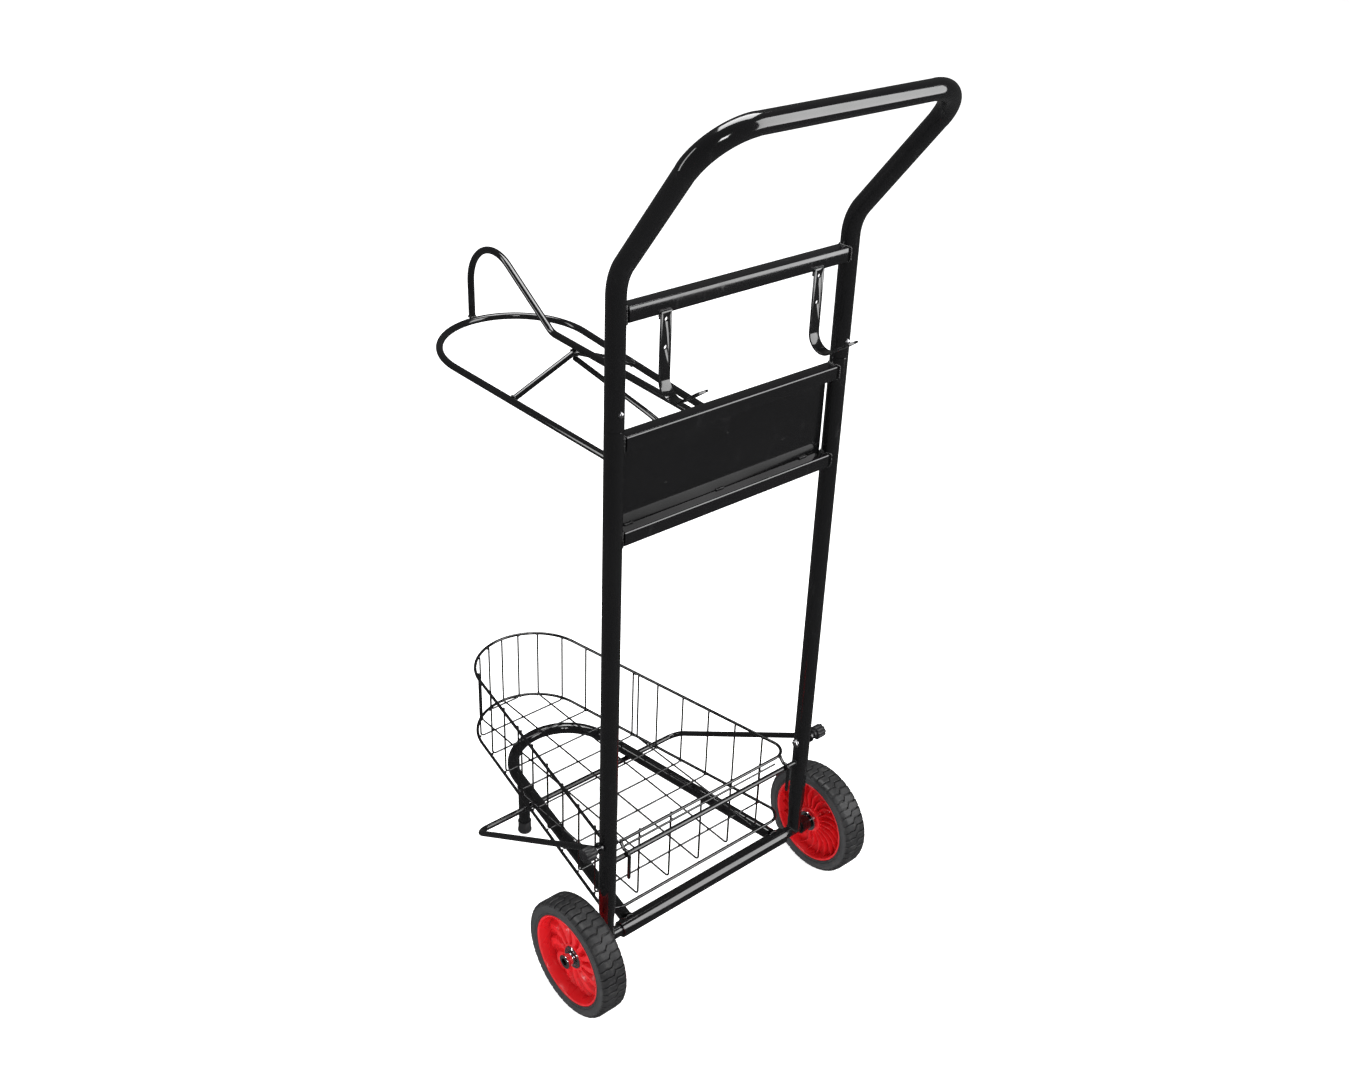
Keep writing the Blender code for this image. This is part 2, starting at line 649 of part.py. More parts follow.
def brace_rod():
    """One bent rod with a drilled flat at each end, turning on the two knob bolts."""
    arm = Vector((0, BRACE_FRONT_Y, BRACE_FRONT_Z - BRACE_PIVOT_Z))
    reach = arm.normalized() * (EYE_R * 0.5)
    start = (BRACE_X, reach.y, BRACE_PIVOT_Z + reach.z)
    corner = (BRACE_X, BRACE_FRONT_Y, BRACE_FRONT_Z)
    corners = [start, corner, (-BRACE_X, corner[1], corner[2]), (-BRACE_X, start[1], start[2])]
    path = bent(corners, (BRACE_BEND_R, BRACE_BEND_R), 5)
    obj = add("brace_rod", rod("brace_rod", path, BRACE_R, 10, across=(1, 0, 0)), BLACK)
    for side, s in SIDES:
        flat = [(s * EYE_IN_X, 0, BRACE_PIVOT_Z), (s * (EYE_IN_X + EYE_THICK), 0, BRACE_PIVOT_Z)]
        far = [(s * (EYE_IN_X - EYE_THICK), 0, BRACE_PIVOT_Z),
               (s * (EYE_IN_X + EYE_THICK + 2 * BRACE_R), 0, BRACE_PIVOT_Z)]
        combine(obj, pin("eye_" + side, flat[0], flat[1], EYE_R, 20), "UNION")
        combine(obj, pin("eye_hole_" + side, far[0], far[1], BOLT_R + RUN, 16), "DIFFERENCE")


KNOB_X = BRACE_X + BRACE_R + GAP


def pivot_bolt(side, s):
    """Bolt through the upright, its head inside and its thread in the knob."""
    head_x = FRAME_HALF - TUBE_R - GAP
    end = KNOB_X + KNOB_COLLAR + KNOB_GRIP * KNOB_BORE_SHARE - head_x
    edge = BOLT_HEAD_THICK / 3
    profile = [(0, -BOLT_HEAD_THICK), (BOLT_HEAD_R - edge, -BOLT_HEAD_THICK),
               (BOLT_HEAD_R, edge - BOLT_HEAD_THICK), (BOLT_HEAD_R, 0), (BOLT_R, 0), (BOLT_R, end), (0, end)]
    add("pivot_bolt_" + side, lathe("pivot_bolt", profile, 16, ring=False), STEEL,
        (s * head_x, 0, BRACE_PIVOT_Z), (0, s * pi / 2, 0))


def knob(side, s):
    """Lobed grip with a round collar and a blind bolt hole."""
    bore = BOLT_R + RUN
    deep = KNOB_COLLAR + KNOB_GRIP * KNOB_BORE_SHARE + GAP + RUN
    top = KNOB_COLLAR + KNOB_GRIP
    body = [(0, deep), (bore, deep), (bore, 0), (KNOB_COLLAR_R, 0), (KNOB_COLLAR_R, KNOB_COLLAR),
            (0.94 * KNOB_R, KNOB_COLLAR), (KNOB_R, KNOB_COLLAR + 0.001), (KNOB_R, top - 0.003),
            (0.85 * KNOB_R, top), (0, top)]
    steps = 4 * KNOB_LOBES
    mesh = lathe("knob", body, steps, ring=False)
    for point in mesh.vertices:
        r = hypot(point.co.x, point.co.y)
        if r > KNOB_COLLAR_R + GAP:
            wave = 1 - LOBE_DEPTH * (1 - cos(KNOB_LOBES * atan2(point.co.y, point.co.x)))
            point.co.x *= wave
            point.co.y *= wave
    add("knob_" + side, mesh, PLASTIC, (s * KNOB_X, 0, BRACE_PIVOT_Z), (0, s * pi / 2, 0))


# ---- basket -------------------------------------------------------------------------------------------
INSET = BASKET_R + GAP + MESH_R
BASKET_TAPER = taper_of(BASKET_HALF, BASKET_REAR_Y, BASKET_FRONT_R, BASKET_FRONT_Y)


def half_width(y, inset):
    """Half width of the basket outline at y, drawn in by inset."""
    r = BASKET_FRONT_R - inset
    if y < BASKET_FRONT_Y - r * sin(BASKET_TAPER):
        return sqrt(r ** 2 - (y - BASKET_FRONT_Y) ** 2)
    return r / cos(BASKET_TAPER) + (y - BASKET_FRONT_Y) * tan(BASKET_TAPER)


def front_reach(x, inset):
    """The y where the outline, drawn in by inset, is x wide on each side."""
    r = BASKET_FRONT_R - inset
    if abs(x) < r * cos(BASKET_TAPER):
        return BASKET_FRONT_Y - sqrt(r ** 2 - x ** 2)
    return BASKET_FRONT_Y + (abs(x) - r / cos(BASKET_TAPER)) / tan(BASKET_TAPER)


CROSS_FIRST_Y = BASKET_REAR_Y - CROSS_REAR
CROSS_LAST_Y = BASKET_FRONT_Y - BASKET_FRONT_R + CROSS_FRONT
CROSS_PITCH = (CROSS_FIRST_Y - CROSS_LAST_Y) / (CROSS_WIRES - 1)
LONG_OUTER_X = half_width(CROSS_FIRST_Y - LONG_END * CROSS_PITCH, INSET)
LONG_X = (0.0, LONG_OUTER_X / 2, LONG_OUTER_X)
MESH_BEND_R = MESH_BEND_SHARE * (LONG_END % 1) * CROSS_PITCH * tan(BASKET_TAPER)


def basket_ring(name, z):
    arc = front_arc(BASKET_FRONT_R, BASKET_FRONT_Y, BASKET_TAPER, 16)
    rear = bent([(*arc[-1], z), (-BASKET_HALF, BASKET_REAR_Y, z), (BASKET_HALF, BASKET_REAR_Y, z),
                 (*arc[0], z)], (BASKET_CORNER_R, BASKET_CORNER_R), 4)
    path = [Vector((x, y, z)) for x, y in arc[1:-1]] + rear
    add(name, rod(name, path, BASKET_R, WIRE_SIDES, closed=True), BLACK)


def cross_wire(index, y):
    """Down one side, across the floor and up the other side."""
    x = half_width(y, INSET)
    corners = [(x, y, RIM_Z), (x, y, BASE_Z), (-x, y, BASE_Z), (-x, y, RIM_Z)]
    path = bent(corners, (MESH_BEND_R, MESH_BEND_R), 3)
    name = "cross_wire_%d" % index
    add(name, rod(name, path, MESH_R, WIRE_SIDES, across=(0, 1, 0)), BLACK)


def long_wire(name, x):
    """Down the rear, along the floor above the cross wires and up the front."""
    floor = BASE_Z + 2 * MESH_R + GAP
    rear, front = BASKET_REAR_Y - INSET, front_reach(x, INSET)
    corners = [(x, rear, RIM_Z), (x, rear, floor), (x, front, floor), (x, front, RIM_Z)]
    path = bent(corners, (MESH_BEND_R, MESH_BEND_R), 3)
    add(name, rod(name, path, MESH_R, WIRE_SIDES, across=(1, 0, 0)), BLACK)


def basket_rear_wire():
    z = RIM_Z - REAR_WIRE_DROP
    ends = [(-REAR_WIRE_HALF, BASKET_REAR_Y, z), (REAR_WIRE_HALF, BASKET_REAR_Y, z)]
    add("basket_rear_wire", rod("basket_rear_wire", ends, MESH_R, WIRE_SIDES), BLACK)


def basket_hook(side, s):
    """From the rim over the cross rod and down behind it."""
    reach = CROSS_ROD_R + GAP + RUN + BASKET_HOOK_R
    turns = [radians(120 - 20 * i) for i in range(7)]
    arc = [Vector((0, reach * cos(a), CROSS_ROD_Z + reach * sin(a))) for a in turns]
    rim_wire = Vector((0, BASKET_REAR_Y, RIM_Z))
    start = rim_wire + (arc[0] - rim_wire).normalized() * (BASKET_R + GAP)
    path = [start] + arc + [Vector((0, reach, BASKET_HOOK_END_Z))]
    mesh = rod("basket_hook", path, BASKET_HOOK_R, 8, across=(1, 0, 0))
    add("basket_hook_" + side, mesh, BLACK, (s * BASKET_HOOK_X, 0, 0))


# ---- the whole cart -----------------------------------------------------------------------------------


def centre_on_outline():
    """Moves the cart so that the origin is on the floor below the middle of its outline."""
    bpy.context.view_layer.update()
    graph = bpy.context.evaluated_depsgraph_get()
    ys = []
    for obj in ROOT.children:
        if not obj.hide_render:
            shape = obj.evaluated_get(graph)
            ys += [(shape.matrix_world @ Vector(corner)).y for corner in shape.bound_box]
    ROOT.location.y = -(min(ys) + max(ys)) / 2
    ROOT.location.z = -FLOOR_Z


def main():
    handle_tube()
    rail("upper_rail", UPPER_RAIL_Z)
    rail("middle_rail", MIDDLE_RAIL_Z)
    rail("lower_rail", LOWER_RAIL_Z)
    back_panel()
    rack_loop()
    rack_spine()
    rack_strut(rack_cross_brace())
    cross_rod()
    axle()
    platform_sleeve()
    toe_loop()
    brace_rod()
    for side, s in SIDES:
        upright(side, s)
        joint_sleeve(side, s)
        snap_button(side, s)
        bridle_hook(side, s)
        toe_leg(side, s)
        foot_cap(side, s)
        tyre(side, s)
        rim(side, s)
        hub_bushing(side, s)
        wheel_spacer(side, s)
        axle_clip(side, s)
        pivot_bolt(side, s)
        knob(side, s)
        basket_hook(side, s)
    basket_ring("basket_rim", RIM_Z)
    basket_ring("basket_base_ring", BASE_Z)
    basket_rear_wire()
    for i in range(CROSS_WIRES):
        cross_wire(i + 1, CROSS_FIRST_Y - CROSS_PITCH * i)
    for i, x in enumerate(LONG_X):
        long_wire("long_wire_%d_left" % i if x else "long_wire_0", x)
        if x:
            long_wire("long_wire_%d_right" % i, -x)
    centre_on_outline()


main()
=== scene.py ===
# %% [markdown]
# # A saddle cart: a hand truck with a saddle rack, a wire basket and bridle hooks
#
# The real cart is welded from steel tube, flat bar, rod and wire, sprayed gloss black, and rolls on two
# moulded wheels. Nearly every piece is a round section carried along a path, so the lesson is mostly about
# one idea: write the path down, and let a Geometry Nodes tree put the metal round it. The sizes are the
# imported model's own, so each finished piece lies exactly where its plain CAD solid lies and moves with it.

# %% Load the frame
import json
from math import acos, atan2, cos, hypot, pi, radians, sin, sqrt, tan

import bmesh
import bpy
from mathutils import Matrix, Vector

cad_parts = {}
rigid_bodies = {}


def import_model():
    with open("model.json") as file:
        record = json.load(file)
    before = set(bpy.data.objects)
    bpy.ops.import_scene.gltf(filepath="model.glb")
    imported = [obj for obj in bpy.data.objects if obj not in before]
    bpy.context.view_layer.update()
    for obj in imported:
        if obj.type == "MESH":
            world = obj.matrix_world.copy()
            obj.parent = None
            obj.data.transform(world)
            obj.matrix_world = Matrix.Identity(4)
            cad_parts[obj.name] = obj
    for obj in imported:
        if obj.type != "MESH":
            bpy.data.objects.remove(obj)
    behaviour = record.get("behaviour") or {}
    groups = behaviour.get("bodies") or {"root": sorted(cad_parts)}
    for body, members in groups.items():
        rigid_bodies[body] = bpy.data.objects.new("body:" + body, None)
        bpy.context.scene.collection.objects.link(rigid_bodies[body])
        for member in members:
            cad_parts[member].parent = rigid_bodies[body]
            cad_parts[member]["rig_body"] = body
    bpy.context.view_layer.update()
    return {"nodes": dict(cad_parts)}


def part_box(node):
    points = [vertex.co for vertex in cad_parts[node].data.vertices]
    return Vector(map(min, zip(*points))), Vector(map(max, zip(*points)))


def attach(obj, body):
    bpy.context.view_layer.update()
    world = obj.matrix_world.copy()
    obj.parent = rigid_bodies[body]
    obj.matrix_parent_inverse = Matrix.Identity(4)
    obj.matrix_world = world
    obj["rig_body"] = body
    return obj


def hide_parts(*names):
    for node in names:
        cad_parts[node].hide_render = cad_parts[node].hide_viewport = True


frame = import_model()

# %% [markdown]
# ## Where things are
#
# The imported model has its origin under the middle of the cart. It is easier to think from the axle, so the
# paths below are written with the axle over y = 0 and are moved at the end by one number, which is read from
# the axle's own box. -Y is the load side, +Y is where the person stands and +X is that person's left hand.

# %% Sizes read from the frame
def middle(node, axis):
    low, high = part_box(node)
    return (low[axis] + high[axis]) / 2


def span(node, axis):
    low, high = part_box(node)
    return high[axis] - low[axis]


SHIFT_Y = middle("axle", 1)
AXLE_Z = middle("axle", 2)
FRAME_HALF = middle("upright_left", 0)
TUBE_R = span("platform_sleeve", 1) / 2
SIDES = (("left", 1), ("right", -1))
print("axle at y = %.4f, z = %.4f; uprights at x = %.4f" % (SHIFT_Y, AXLE_Z, FRAME_HALF))

# %% [markdown]
# ## Small helpers for node trees
#
# A tree of sockets and links is hard to read, and the same maths as a Python expression is easy. `Term`
# wraps one output socket, so `noise * 0.3 + 0.1` adds the Math nodes for us. The reflected forms
# (`__radd__` and so on) let a plain number stand on the left, as in `1 - mask`.

# %% Term and Tree
class Term:
    """One output socket that can be used in arithmetic."""

    def __init__(self, tree, socket):
        self.tree = tree
        self.socket = socket

    def math(self, operation, first, second=0.0):
        return self.tree.node("ShaderNodeMath", {"operation": operation}, {0: first, 1: second}).out()

    def size(self):
        return self.math("ABSOLUTE", self)

    def wave(self):
        return self.math("SINE", self)


def give_operator(name, operation):
    """Adds one operator and its reflected form to Term."""
    setattr(Term, "__%s__" % name, lambda self, other: self.math(operation, self, other))
    setattr(Term, "__r%s__" % name, lambda self, other: self.math(operation, other, self))


for name, operation in (("add", "ADD"), ("sub", "SUBTRACT"), ("mul", "MULTIPLY"), ("truediv", "DIVIDE"),
                        ("pow", "POWER")):
    give_operator(name, operation)


class Made:
    """A node, with its outputs by name or number as Terms."""

    def __init__(self, tree, node):
        self.tree = tree
        self.raw = node

    def out(self, key=0):
        return Term(self.tree, self.raw.outputs[key])


class Tree:
    """A node tree that builds itself from Python calls."""

    def __init__(self, tree):
        self.raw = tree

    def node(self, kind, settings=None, sockets=None):
        made = self.raw.nodes.new(kind)
        for name, value in (settings or {}).items():
            if name == "stops":
                self._ramp(made.color_ramp, value)
            else:
                setattr(made, name, value)
        for key, value in (sockets or {}).items():
            if isinstance(value, Made):
                value = value.out()
            if isinstance(value, Term):
                self.raw.links.new(value.socket, made.inputs[key])
            else:
                made.inputs[key].default_value = value
        return Made(self, made)

    @staticmethod
    def _ramp(ramp, stops):
        while len(ramp.elements) > 1:
            ramp.elements.remove(ramp.elements[-1])
        ramp.elements[0].position = stops[0][0]
        ramp.elements[0].color = stops[0][1]
        for position, colour in stops[1:]:
            ramp.elements.new(position).color = colour


print("node helpers ready")

# %% [markdown]
# ## Finishes
#
# Every finish starts in the same way: an emptied material, a Principled shader, and the piece's own Object
# coordinates, which are metres here, so a noise scale of 400 gives grain about 2.5 mm across. `Finish` keeps
# those three together. Only colour, roughness, metallic, coat weight and normal vary over a surface, and
# everything that is the same all over is set straight on the shader.

# %% Finish
class Finish(Tree):
    """A material under construction: shader, output and object coordinates."""

    def __init__(self, name, fixed):
        self.material = bpy.data.materials.new(name)
        self.material.use_nodes = True
        self.material.node_tree.nodes.clear()
        super().__init__(self.material.node_tree)
        self.shader = self.node("ShaderNodeBsdfPrincipled", {}, fixed)
        self.node("ShaderNodeOutputMaterial", {}, {"Surface": self.shader})
        self.place = self.node("ShaderNodeTexCoord").out("Object")

    def noise(self, scale, detail=3.0, roughness=0.5, vector=None, distortion=0.0):
        return self.node("ShaderNodeTexNoise", {}, {
            "Vector": vector or self.place, "Scale": scale, "Detail": detail, "Roughness": roughness,
            "Distortion": distortion}).out("Fac")

    def spots(self, scale):
        return self.node("ShaderNodeTexVoronoi", {}, {"Vector": self.place, "Scale": scale}).out("Distance")

    def stretch(self, x, y, z):
        return self.node("ShaderNodeMapping", {}, {"Vector": self.place, "Scale": (x, y, z)}).out()

    def part(self, axis):
        return self.node("ShaderNodeSeparateXYZ", {}, {0: self.place}).out(axis)

    def ramp(self, value, low, high, from_value=0.0, to_value=1.0):
        """Value carried from low..high to from_value..to_value, clamped."""
        return self.node("ShaderNodeMapRange", {"clamp": True}, {
            "Value": value, "From Min": low, "From Max": high,
            "To Min": from_value, "To Max": to_value}).out()

    def blend(self, mask, first, second):
        """One colour over another by a mask; colours are linked or (r, g, b) values."""
        fade = self.node("ShaderNodeMix", {"data_type": "RGBA"}, {0: mask})
        for index, colour in ((6, first), (7, second)):
            if isinstance(colour, Term):
                self.raw.links.new(colour.socket, fade.raw.inputs[index])
            else:
                fade.raw.inputs[index].default_value = (*colour, 1.0)
        return fade.out(2)

    def bump(self, height, distance, strength=1.0, under=None):
        """Relief of this height in metres at a value of 1, on top of another bump if given."""
        sockets = {"Height": height, "Distance": distance, "Strength": strength}
        if under is not None:
            sockets["Normal"] = under
        return self.node("ShaderNodeBump", {}, sockets).out()

    def bevel_edges(self, radius):
        """1 on the sharp outer edges of a piece and 0 on its flats, by how far a rounded normal turns."""
        soft = self.node("ShaderNodeBevel", {"samples": 4}, {"Radius": radius}).out()
        hard = self.node("ShaderNodeNewGeometry").out("Normal")
        dot = self.node("ShaderNodeVectorMath", {"operation": "DOT_PRODUCT"}, {0: soft, 1: hard})
        return self.ramp(dot.out("Value"), 0.995, 0.93)

    def finish(self, **varied):
        for socket, value in varied.items():
            name = socket.replace("_", " ")
            self.raw.links.new(value.socket, self.shader.raw.inputs[name])
        return self.material


# %% [markdown]
# ### Gloss black powder coat
#
# Powder is sprayed on dry and melted in an oven. It comes out glossy but never quite flat: there is a soft
# orange-peel ripple a few millimetres across, with fine dust nibs, and handling leaves faint hazy patches.
# The ripple is what breaks a lamp's reflection on a black tube into the slightly wobbling streak that tells
# the eye it is painted metal and not plastic, so it is made as bump, and the haze goes into the roughness.

# %% Powder coat
def powder_coat(name, worn=0.0):
    coat = Finish(name, {"Specular IOR Level": 0.5, "IOR": 1.5, "Coat Roughness": 0.04, "Metallic": 0.0})
    peel = coat.noise(330.0, 2.0, 0.45)
    nibs = coat.ramp(coat.spots(90.0), 0.05, 0.02)
    haze = coat.noise(9.0, 4.0, 0.6)
    rub = coat.noise(55.0, 5.0, 0.65, coat.stretch(1.0, 1.0, 0.35))
    scuff = coat.ramp(rub, 0.62, 0.74)
    colour = coat.blend(haze, (0.0040, 0.0040, 0.0043), (0.0070, 0.0070, 0.0074))
    colour = coat.blend(scuff * 0.5, colour, (0.018, 0.018, 0.019))
    roughness = coat.ramp(haze, 0.3, 0.75, 0.07, 0.15) + scuff * 0.12
    if worn:
        edges = coat.bevel_edges(0.0012) * coat.ramp(coat.noise(120.0, 4.0, 0.6), 0.45, 0.62)
        colour = coat.blend(edges * worn, colour, (0.16, 0.16, 0.165))
        roughness = roughness + edges * 0.2
    normal = coat.bump(peel, 0.00002, 0.6)
    normal = coat.bump(nibs, 0.00002, 0.3, normal)
    return coat.finish(Base_Color=colour, Roughness=roughness, Normal=normal,
                       Coat_Weight=coat.ramp(haze, 0.3, 0.7, 0.55, 0.30))


PAINT = powder_coat("gloss_black_powder_coat")
PAINT_EDGED = powder_coat("gloss_black_on_flat_bar", worn=0.35)
print("paint:", PAINT.name, "and", PAINT_EDGED.name)

# %% [markdown]
# ### Bright plating
#
# The axle ends, bushings and buttons are turned steel with bright plating. Turning leaves fine rings about
# the part's axis. On the object coordinates those rings would need the axis as a centre, so instead the noise
# is squeezed along X, the direction that all the turned parts of the axle share: rings about X then read as
# thin bands, and a slow second noise lays the milky patches of handled plating over them.

# %% Plating
def plating(name, colour, rough_low, rough_high):
    metal = Finish(name, {"Metallic": 1.0, "IOR": 2.5})
    rings = metal.noise(1.0, 3.0, 0.6, metal.stretch(2600.0, 120.0, 120.0))
    patches = metal.noise(70.0, 4.0, 0.6)
    shade = metal.blend(metal.ramp(patches, 0.35, 0.7), colour, tuple(0.8 * c for c in colour))
    rough = metal.ramp(patches, 0.35, 0.75, rough_low, rough_high) + rings * 0.05
    return metal.finish(Base_Color=shade, Roughness=rough, Normal=metal.bump(rings, 0.00001, 0.5))


def painted_bar(name):
    """Plated at its two ends and sprayed black between, with the powder's soft edge."""
    bar = Finish(name, {"IOR": 1.6, "Coat Weight": 0.3})
    edge = bar.noise(300.0, 2.0, 0.5) * 0.002
    bare = bar.ramp(bar.part("X").size() + edge, FRAME_HALF + 0.030, FRAME_HALF + 0.033)
    haze = bar.noise(40.0, 3.0, 0.6)
    colour = bar.blend(bare, (0.006, 0.006, 0.0065), (0.82, 0.82, 0.84))
    return bar.finish(Base_Color=colour, Metallic=bare, Roughness=bar.ramp(haze, 0.3, 0.7, 0.07, 0.14))


AXLE = painted_bar("axle_plated_at_the_ends")
CHROME = plating("bright_plating", (0.82, 0.82, 0.84), 0.05, 0.14)
ZINC = plating("zinc_plating", (0.62, 0.62, 0.64), 0.20, 0.34)
print("plating:", CHROME.name, "and", ZINC.name)

# %% [markdown]
# ### Moulded red wheel centres
#
# The rims are one shot of red plastic. The mould is smooth, so the light breaks only on faint flow lines,
# and the colour is a little deeper where the wall is thick. A touch of dust settles in the low corners.

# %% Red moulding
def red_moulding():
    red = Finish("red_moulded_plastic", {"IOR": 1.49, "Specular IOR Level": 0.45, "Coat Roughness": 0.12,
                                         "Subsurface Weight": 0.0})
    flow = red.noise(36.0, 3.0, 0.5, distortion=0.4)
    grain = red.noise(1500.0, 2.0, 0.5)
    dust = red.ramp(red.noise(90.0, 5.0, 0.7), 0.60, 0.80)
    colour = red.blend(flow, (0.62, 0.010, 0.016), (0.78, 0.018, 0.024))
    colour = red.blend(dust * 0.16, colour, (0.55, 0.30, 0.26))
    rough = red.ramp(flow, 0.3, 0.7, 0.24, 0.34) + dust * 0.2
    normal = red.bump(grain, 0.00002, 0.6, red.bump(flow, 0.00025, 0.35))
    return red.finish(Base_Color=colour, Roughness=rough, Normal=normal,
                      Coat_Weight=red.ramp(flow, 0.3, 0.7, 0.25, 0.1))


RED = red_moulding()

# %% [markdown]
# ### Tyre rubber
#
# The tyres are solid rubber, charcoal rather than black. A moulded tyre shows three things: a fine matt
# grain, a paler bloom that comes out on the smooth sidewall, and dust that lodges in the tread. The distance
# from the wheel's axle tells the shader where it is, because the wheel centres are known points: the radius
# is worked out from y and z, so one material serves both tyres.

# %% Rubber
def tyre_rubber():
    rubber = Finish("tyre_rubber", {"IOR": 1.5, "Specular IOR Level": 0.35})
    y = rubber.part("Y") - SHIFT_Y
    z = rubber.part("Z") - AXLE_Z
    radius = (y * y + z * z) ** 0.5
    tread = rubber.ramp(radius, 0.0835, 0.0868)
    grain = rubber.noise(1400.0, 3.0, 0.6)
    bloom = rubber.noise(24.0, 4.0, 0.6)
    dust = rubber.ramp(rubber.noise(160.0, 4.0, 0.7), 0.50, 0.75)
    wall = rubber.blend(bloom, (0.038, 0.039, 0.041), (0.056, 0.057, 0.059))
    face = rubber.blend(bloom, (0.014, 0.014, 0.015), (0.024, 0.024, 0.025))
    colour = rubber.blend(tread, wall, face)
    colour = rubber.blend(dust * 0.22, colour, (0.13, 0.125, 0.115))
    rings = (radius * 2600.0).wave() * (1 - tread) * 0.3
    rough = rubber.ramp(bloom, 0.3, 0.7, 0.36, 0.48) + dust * 0.12
    normal = rubber.bump(grain + rings * 0.4, 0.00006, 0.7)
    return rubber.finish(Base_Color=colour, Roughness=rough, Normal=normal)


def matt_plastic(name, colour, rough, grain_size):
    moulded = Finish(name, {"IOR": 1.48, "Specular IOR Level": 0.4})
    grain = moulded.noise(1.0 / grain_size, 3.0, 0.6)
    worn = moulded.ramp(moulded.noise(80.0, 5.0, 0.65), 0.55, 0.75)
    shade = moulded.blend(worn * 0.6, colour, tuple(min(1.0, 2.6 * c) for c in colour))
    return moulded.finish(Base_Color=shade, Roughness=worn * 0.12 + rough,
                          Normal=moulded.bump(grain, 0.00005, 0.8))


TYRE = tyre_rubber()
CAP = matt_plastic("foot_cap_rubber", (0.016, 0.016, 0.017), 0.58, 0.0009)
KNOB = matt_plastic("knob_plastic", (0.014, 0.014, 0.015), 0.34, 0.0006)
print("rubber and plastic:", TYRE.name, CAP.name, KNOB.name)

# %% [markdown]
# ## From a finished mesh to a piece of the cart
#
# Whatever makes a shape, the end is the same: the mesh is moved from axle coordinates to the frame's, it gets
# its finish, it rides on a body and the CAD solids it stands for are hidden. `piece` does all of that once.

# %% piece
def piece(name, mesh, finish, body, nodes=(), smooth=40.0):
    """A finished mesh becomes a piece that rides on a body, in place of the CAD nodes named."""
    mesh.transform(Matrix.Translation((0, SHIFT_Y, 0)))
    if len(mesh.materials) == 0:
        mesh.materials.append(finish)
    obj = bpy.data.objects.new(name, mesh)
    bpy.context.scene.collection.objects.link(obj)
    mesh.shade_smooth()
    mesh.set_sharp_from_angle(angle=radians(smooth))
    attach(obj, body)
    present = [n for n in nodes if n in frame["nodes"]]
    if present:
        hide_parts(*present)
    return obj


def black(name, mesh, nodes, body="frame"):
    """A powder-coated piece."""
    return piece(name, mesh, PAINT, body, nodes)


def evaluated(obj):
    """The mesh that an object's modifiers make, as plain data; the object itself is removed."""
    bpy.context.view_layer.update()
    graph = bpy.context.evaluated_depsgraph_get()
    mesh = bpy.data.meshes.new_from_object(obj.evaluated_get(graph), depsgraph=graph)
    bpy.data.objects.remove(obj)
    return mesh


def scratch(mesh):
    obj = bpy.data.objects.new("scratch", mesh)
    bpy.context.scene.collection.objects.link(obj)
    return obj


# %% [markdown]
# ## Paths
#
# A path is a list of corner points with a bend radius at each inner corner, just as a tube bender is set up.
# `bent` replaces each corner by an arc. The fronts of the rack, basket and toe loop share one outline: a
# round front whose two sides run back without a kink, which `taper_of` and `front_arc` work out.

# %% bent, taper_of, front_arc
def bent(corners, radii, steps=10):
    """The corner points with each inner corner rounded to its own radius."""
    corners = [Vector(c) for c in corners]
    path = [corners[0]]
    for i, radius in enumerate(radii, start=1):
        corner = corners[i]
        back = (corners[i - 1] - corner).normalized()
        on = (corners[i + 1] - corner).normalized()
        half = back.angle(on) / 2
        centre = corner + (back + on).normalized() * (radius / sin(half))
        first = corner + back * (radius / tan(half)) - centre
        final = corner + on * (radius / tan(half)) - centre
        turn = first.angle(final)
        for k in range(steps + 1):
            part = turn * k / steps
            path.append(centre + (first * sin(turn - part) + final * sin(part)) / sin(turn))
    path.append(corners[-1])
    return path


def taper_of(half, at_y, front_r, front_y):
    return acos(front_r / hypot(half, at_y - front_y)) - atan2(at_y - front_y, half)


def front_arc(front_r, front_y, taper, steps=48):
    start, end = -taper, taper - pi
    turns = [start + (end - start) * i / steps for i in range(steps + 1)]
    return [(front_r * cos(a), front_y + front_r * sin(a)) for a in turns]


def line_mesh(paths, closed=False, swell=None):
    """Polylines as a mesh of edges, with a thickness factor stored on every point."""
    points, edges = [], []
    for path in paths:
        first = len(points)
        points += [tuple(p) for p in path]
        edges += [(i, i + 1) for i in range(first, len(points) - 1)]
        if closed:
            edges.append((len(points) - 1, first))
    mesh = bpy.data.meshes.new("path")
    mesh.from_pydata(points, edges, [])
    layer = mesh.attributes.new("swell", "FLOAT", "POINT")
    layer.data.foreach_set("value", swell or [1.0] * len(points))
    return mesh


# %% [markdown]
# ## Metal round a path
#
# One Geometry Nodes tree turns any such line into rod, wire or tube. It could be done with a curve object and
# a bevel, but the tree lets a point attribute called `swell` thicken or pinch the metal along the way, as a
# bender does on the outside of a bend, and it is built once and used for some forty pieces. The inputs are
# set by their identifiers before the object is first evaluated.

# %% The tube tree
def new_tree(name, inputs):
    """An empty geometry tree with a geometry input and output, the named inputs given and a finish."""
    raw = bpy.data.node_groups.new(name, "GeometryNodeTree")
    raw.interface.new_socket("Geometry", in_out="OUTPUT", socket_type="NodeSocketGeometry")
    raw.interface.new_socket("Geometry", in_out="INPUT", socket_type="NodeSocketGeometry")
    for title, kind, value in (*inputs, ("Finish", "NodeSocketMaterial", None)):
        made = raw.interface.new_socket(title, in_out="INPUT", socket_type=kind)
        if value is not None:
            made.default_value = value
    tree = Tree(raw)
    return tree, tree.node("NodeGroupInput"), tree.node("NodeGroupOutput")


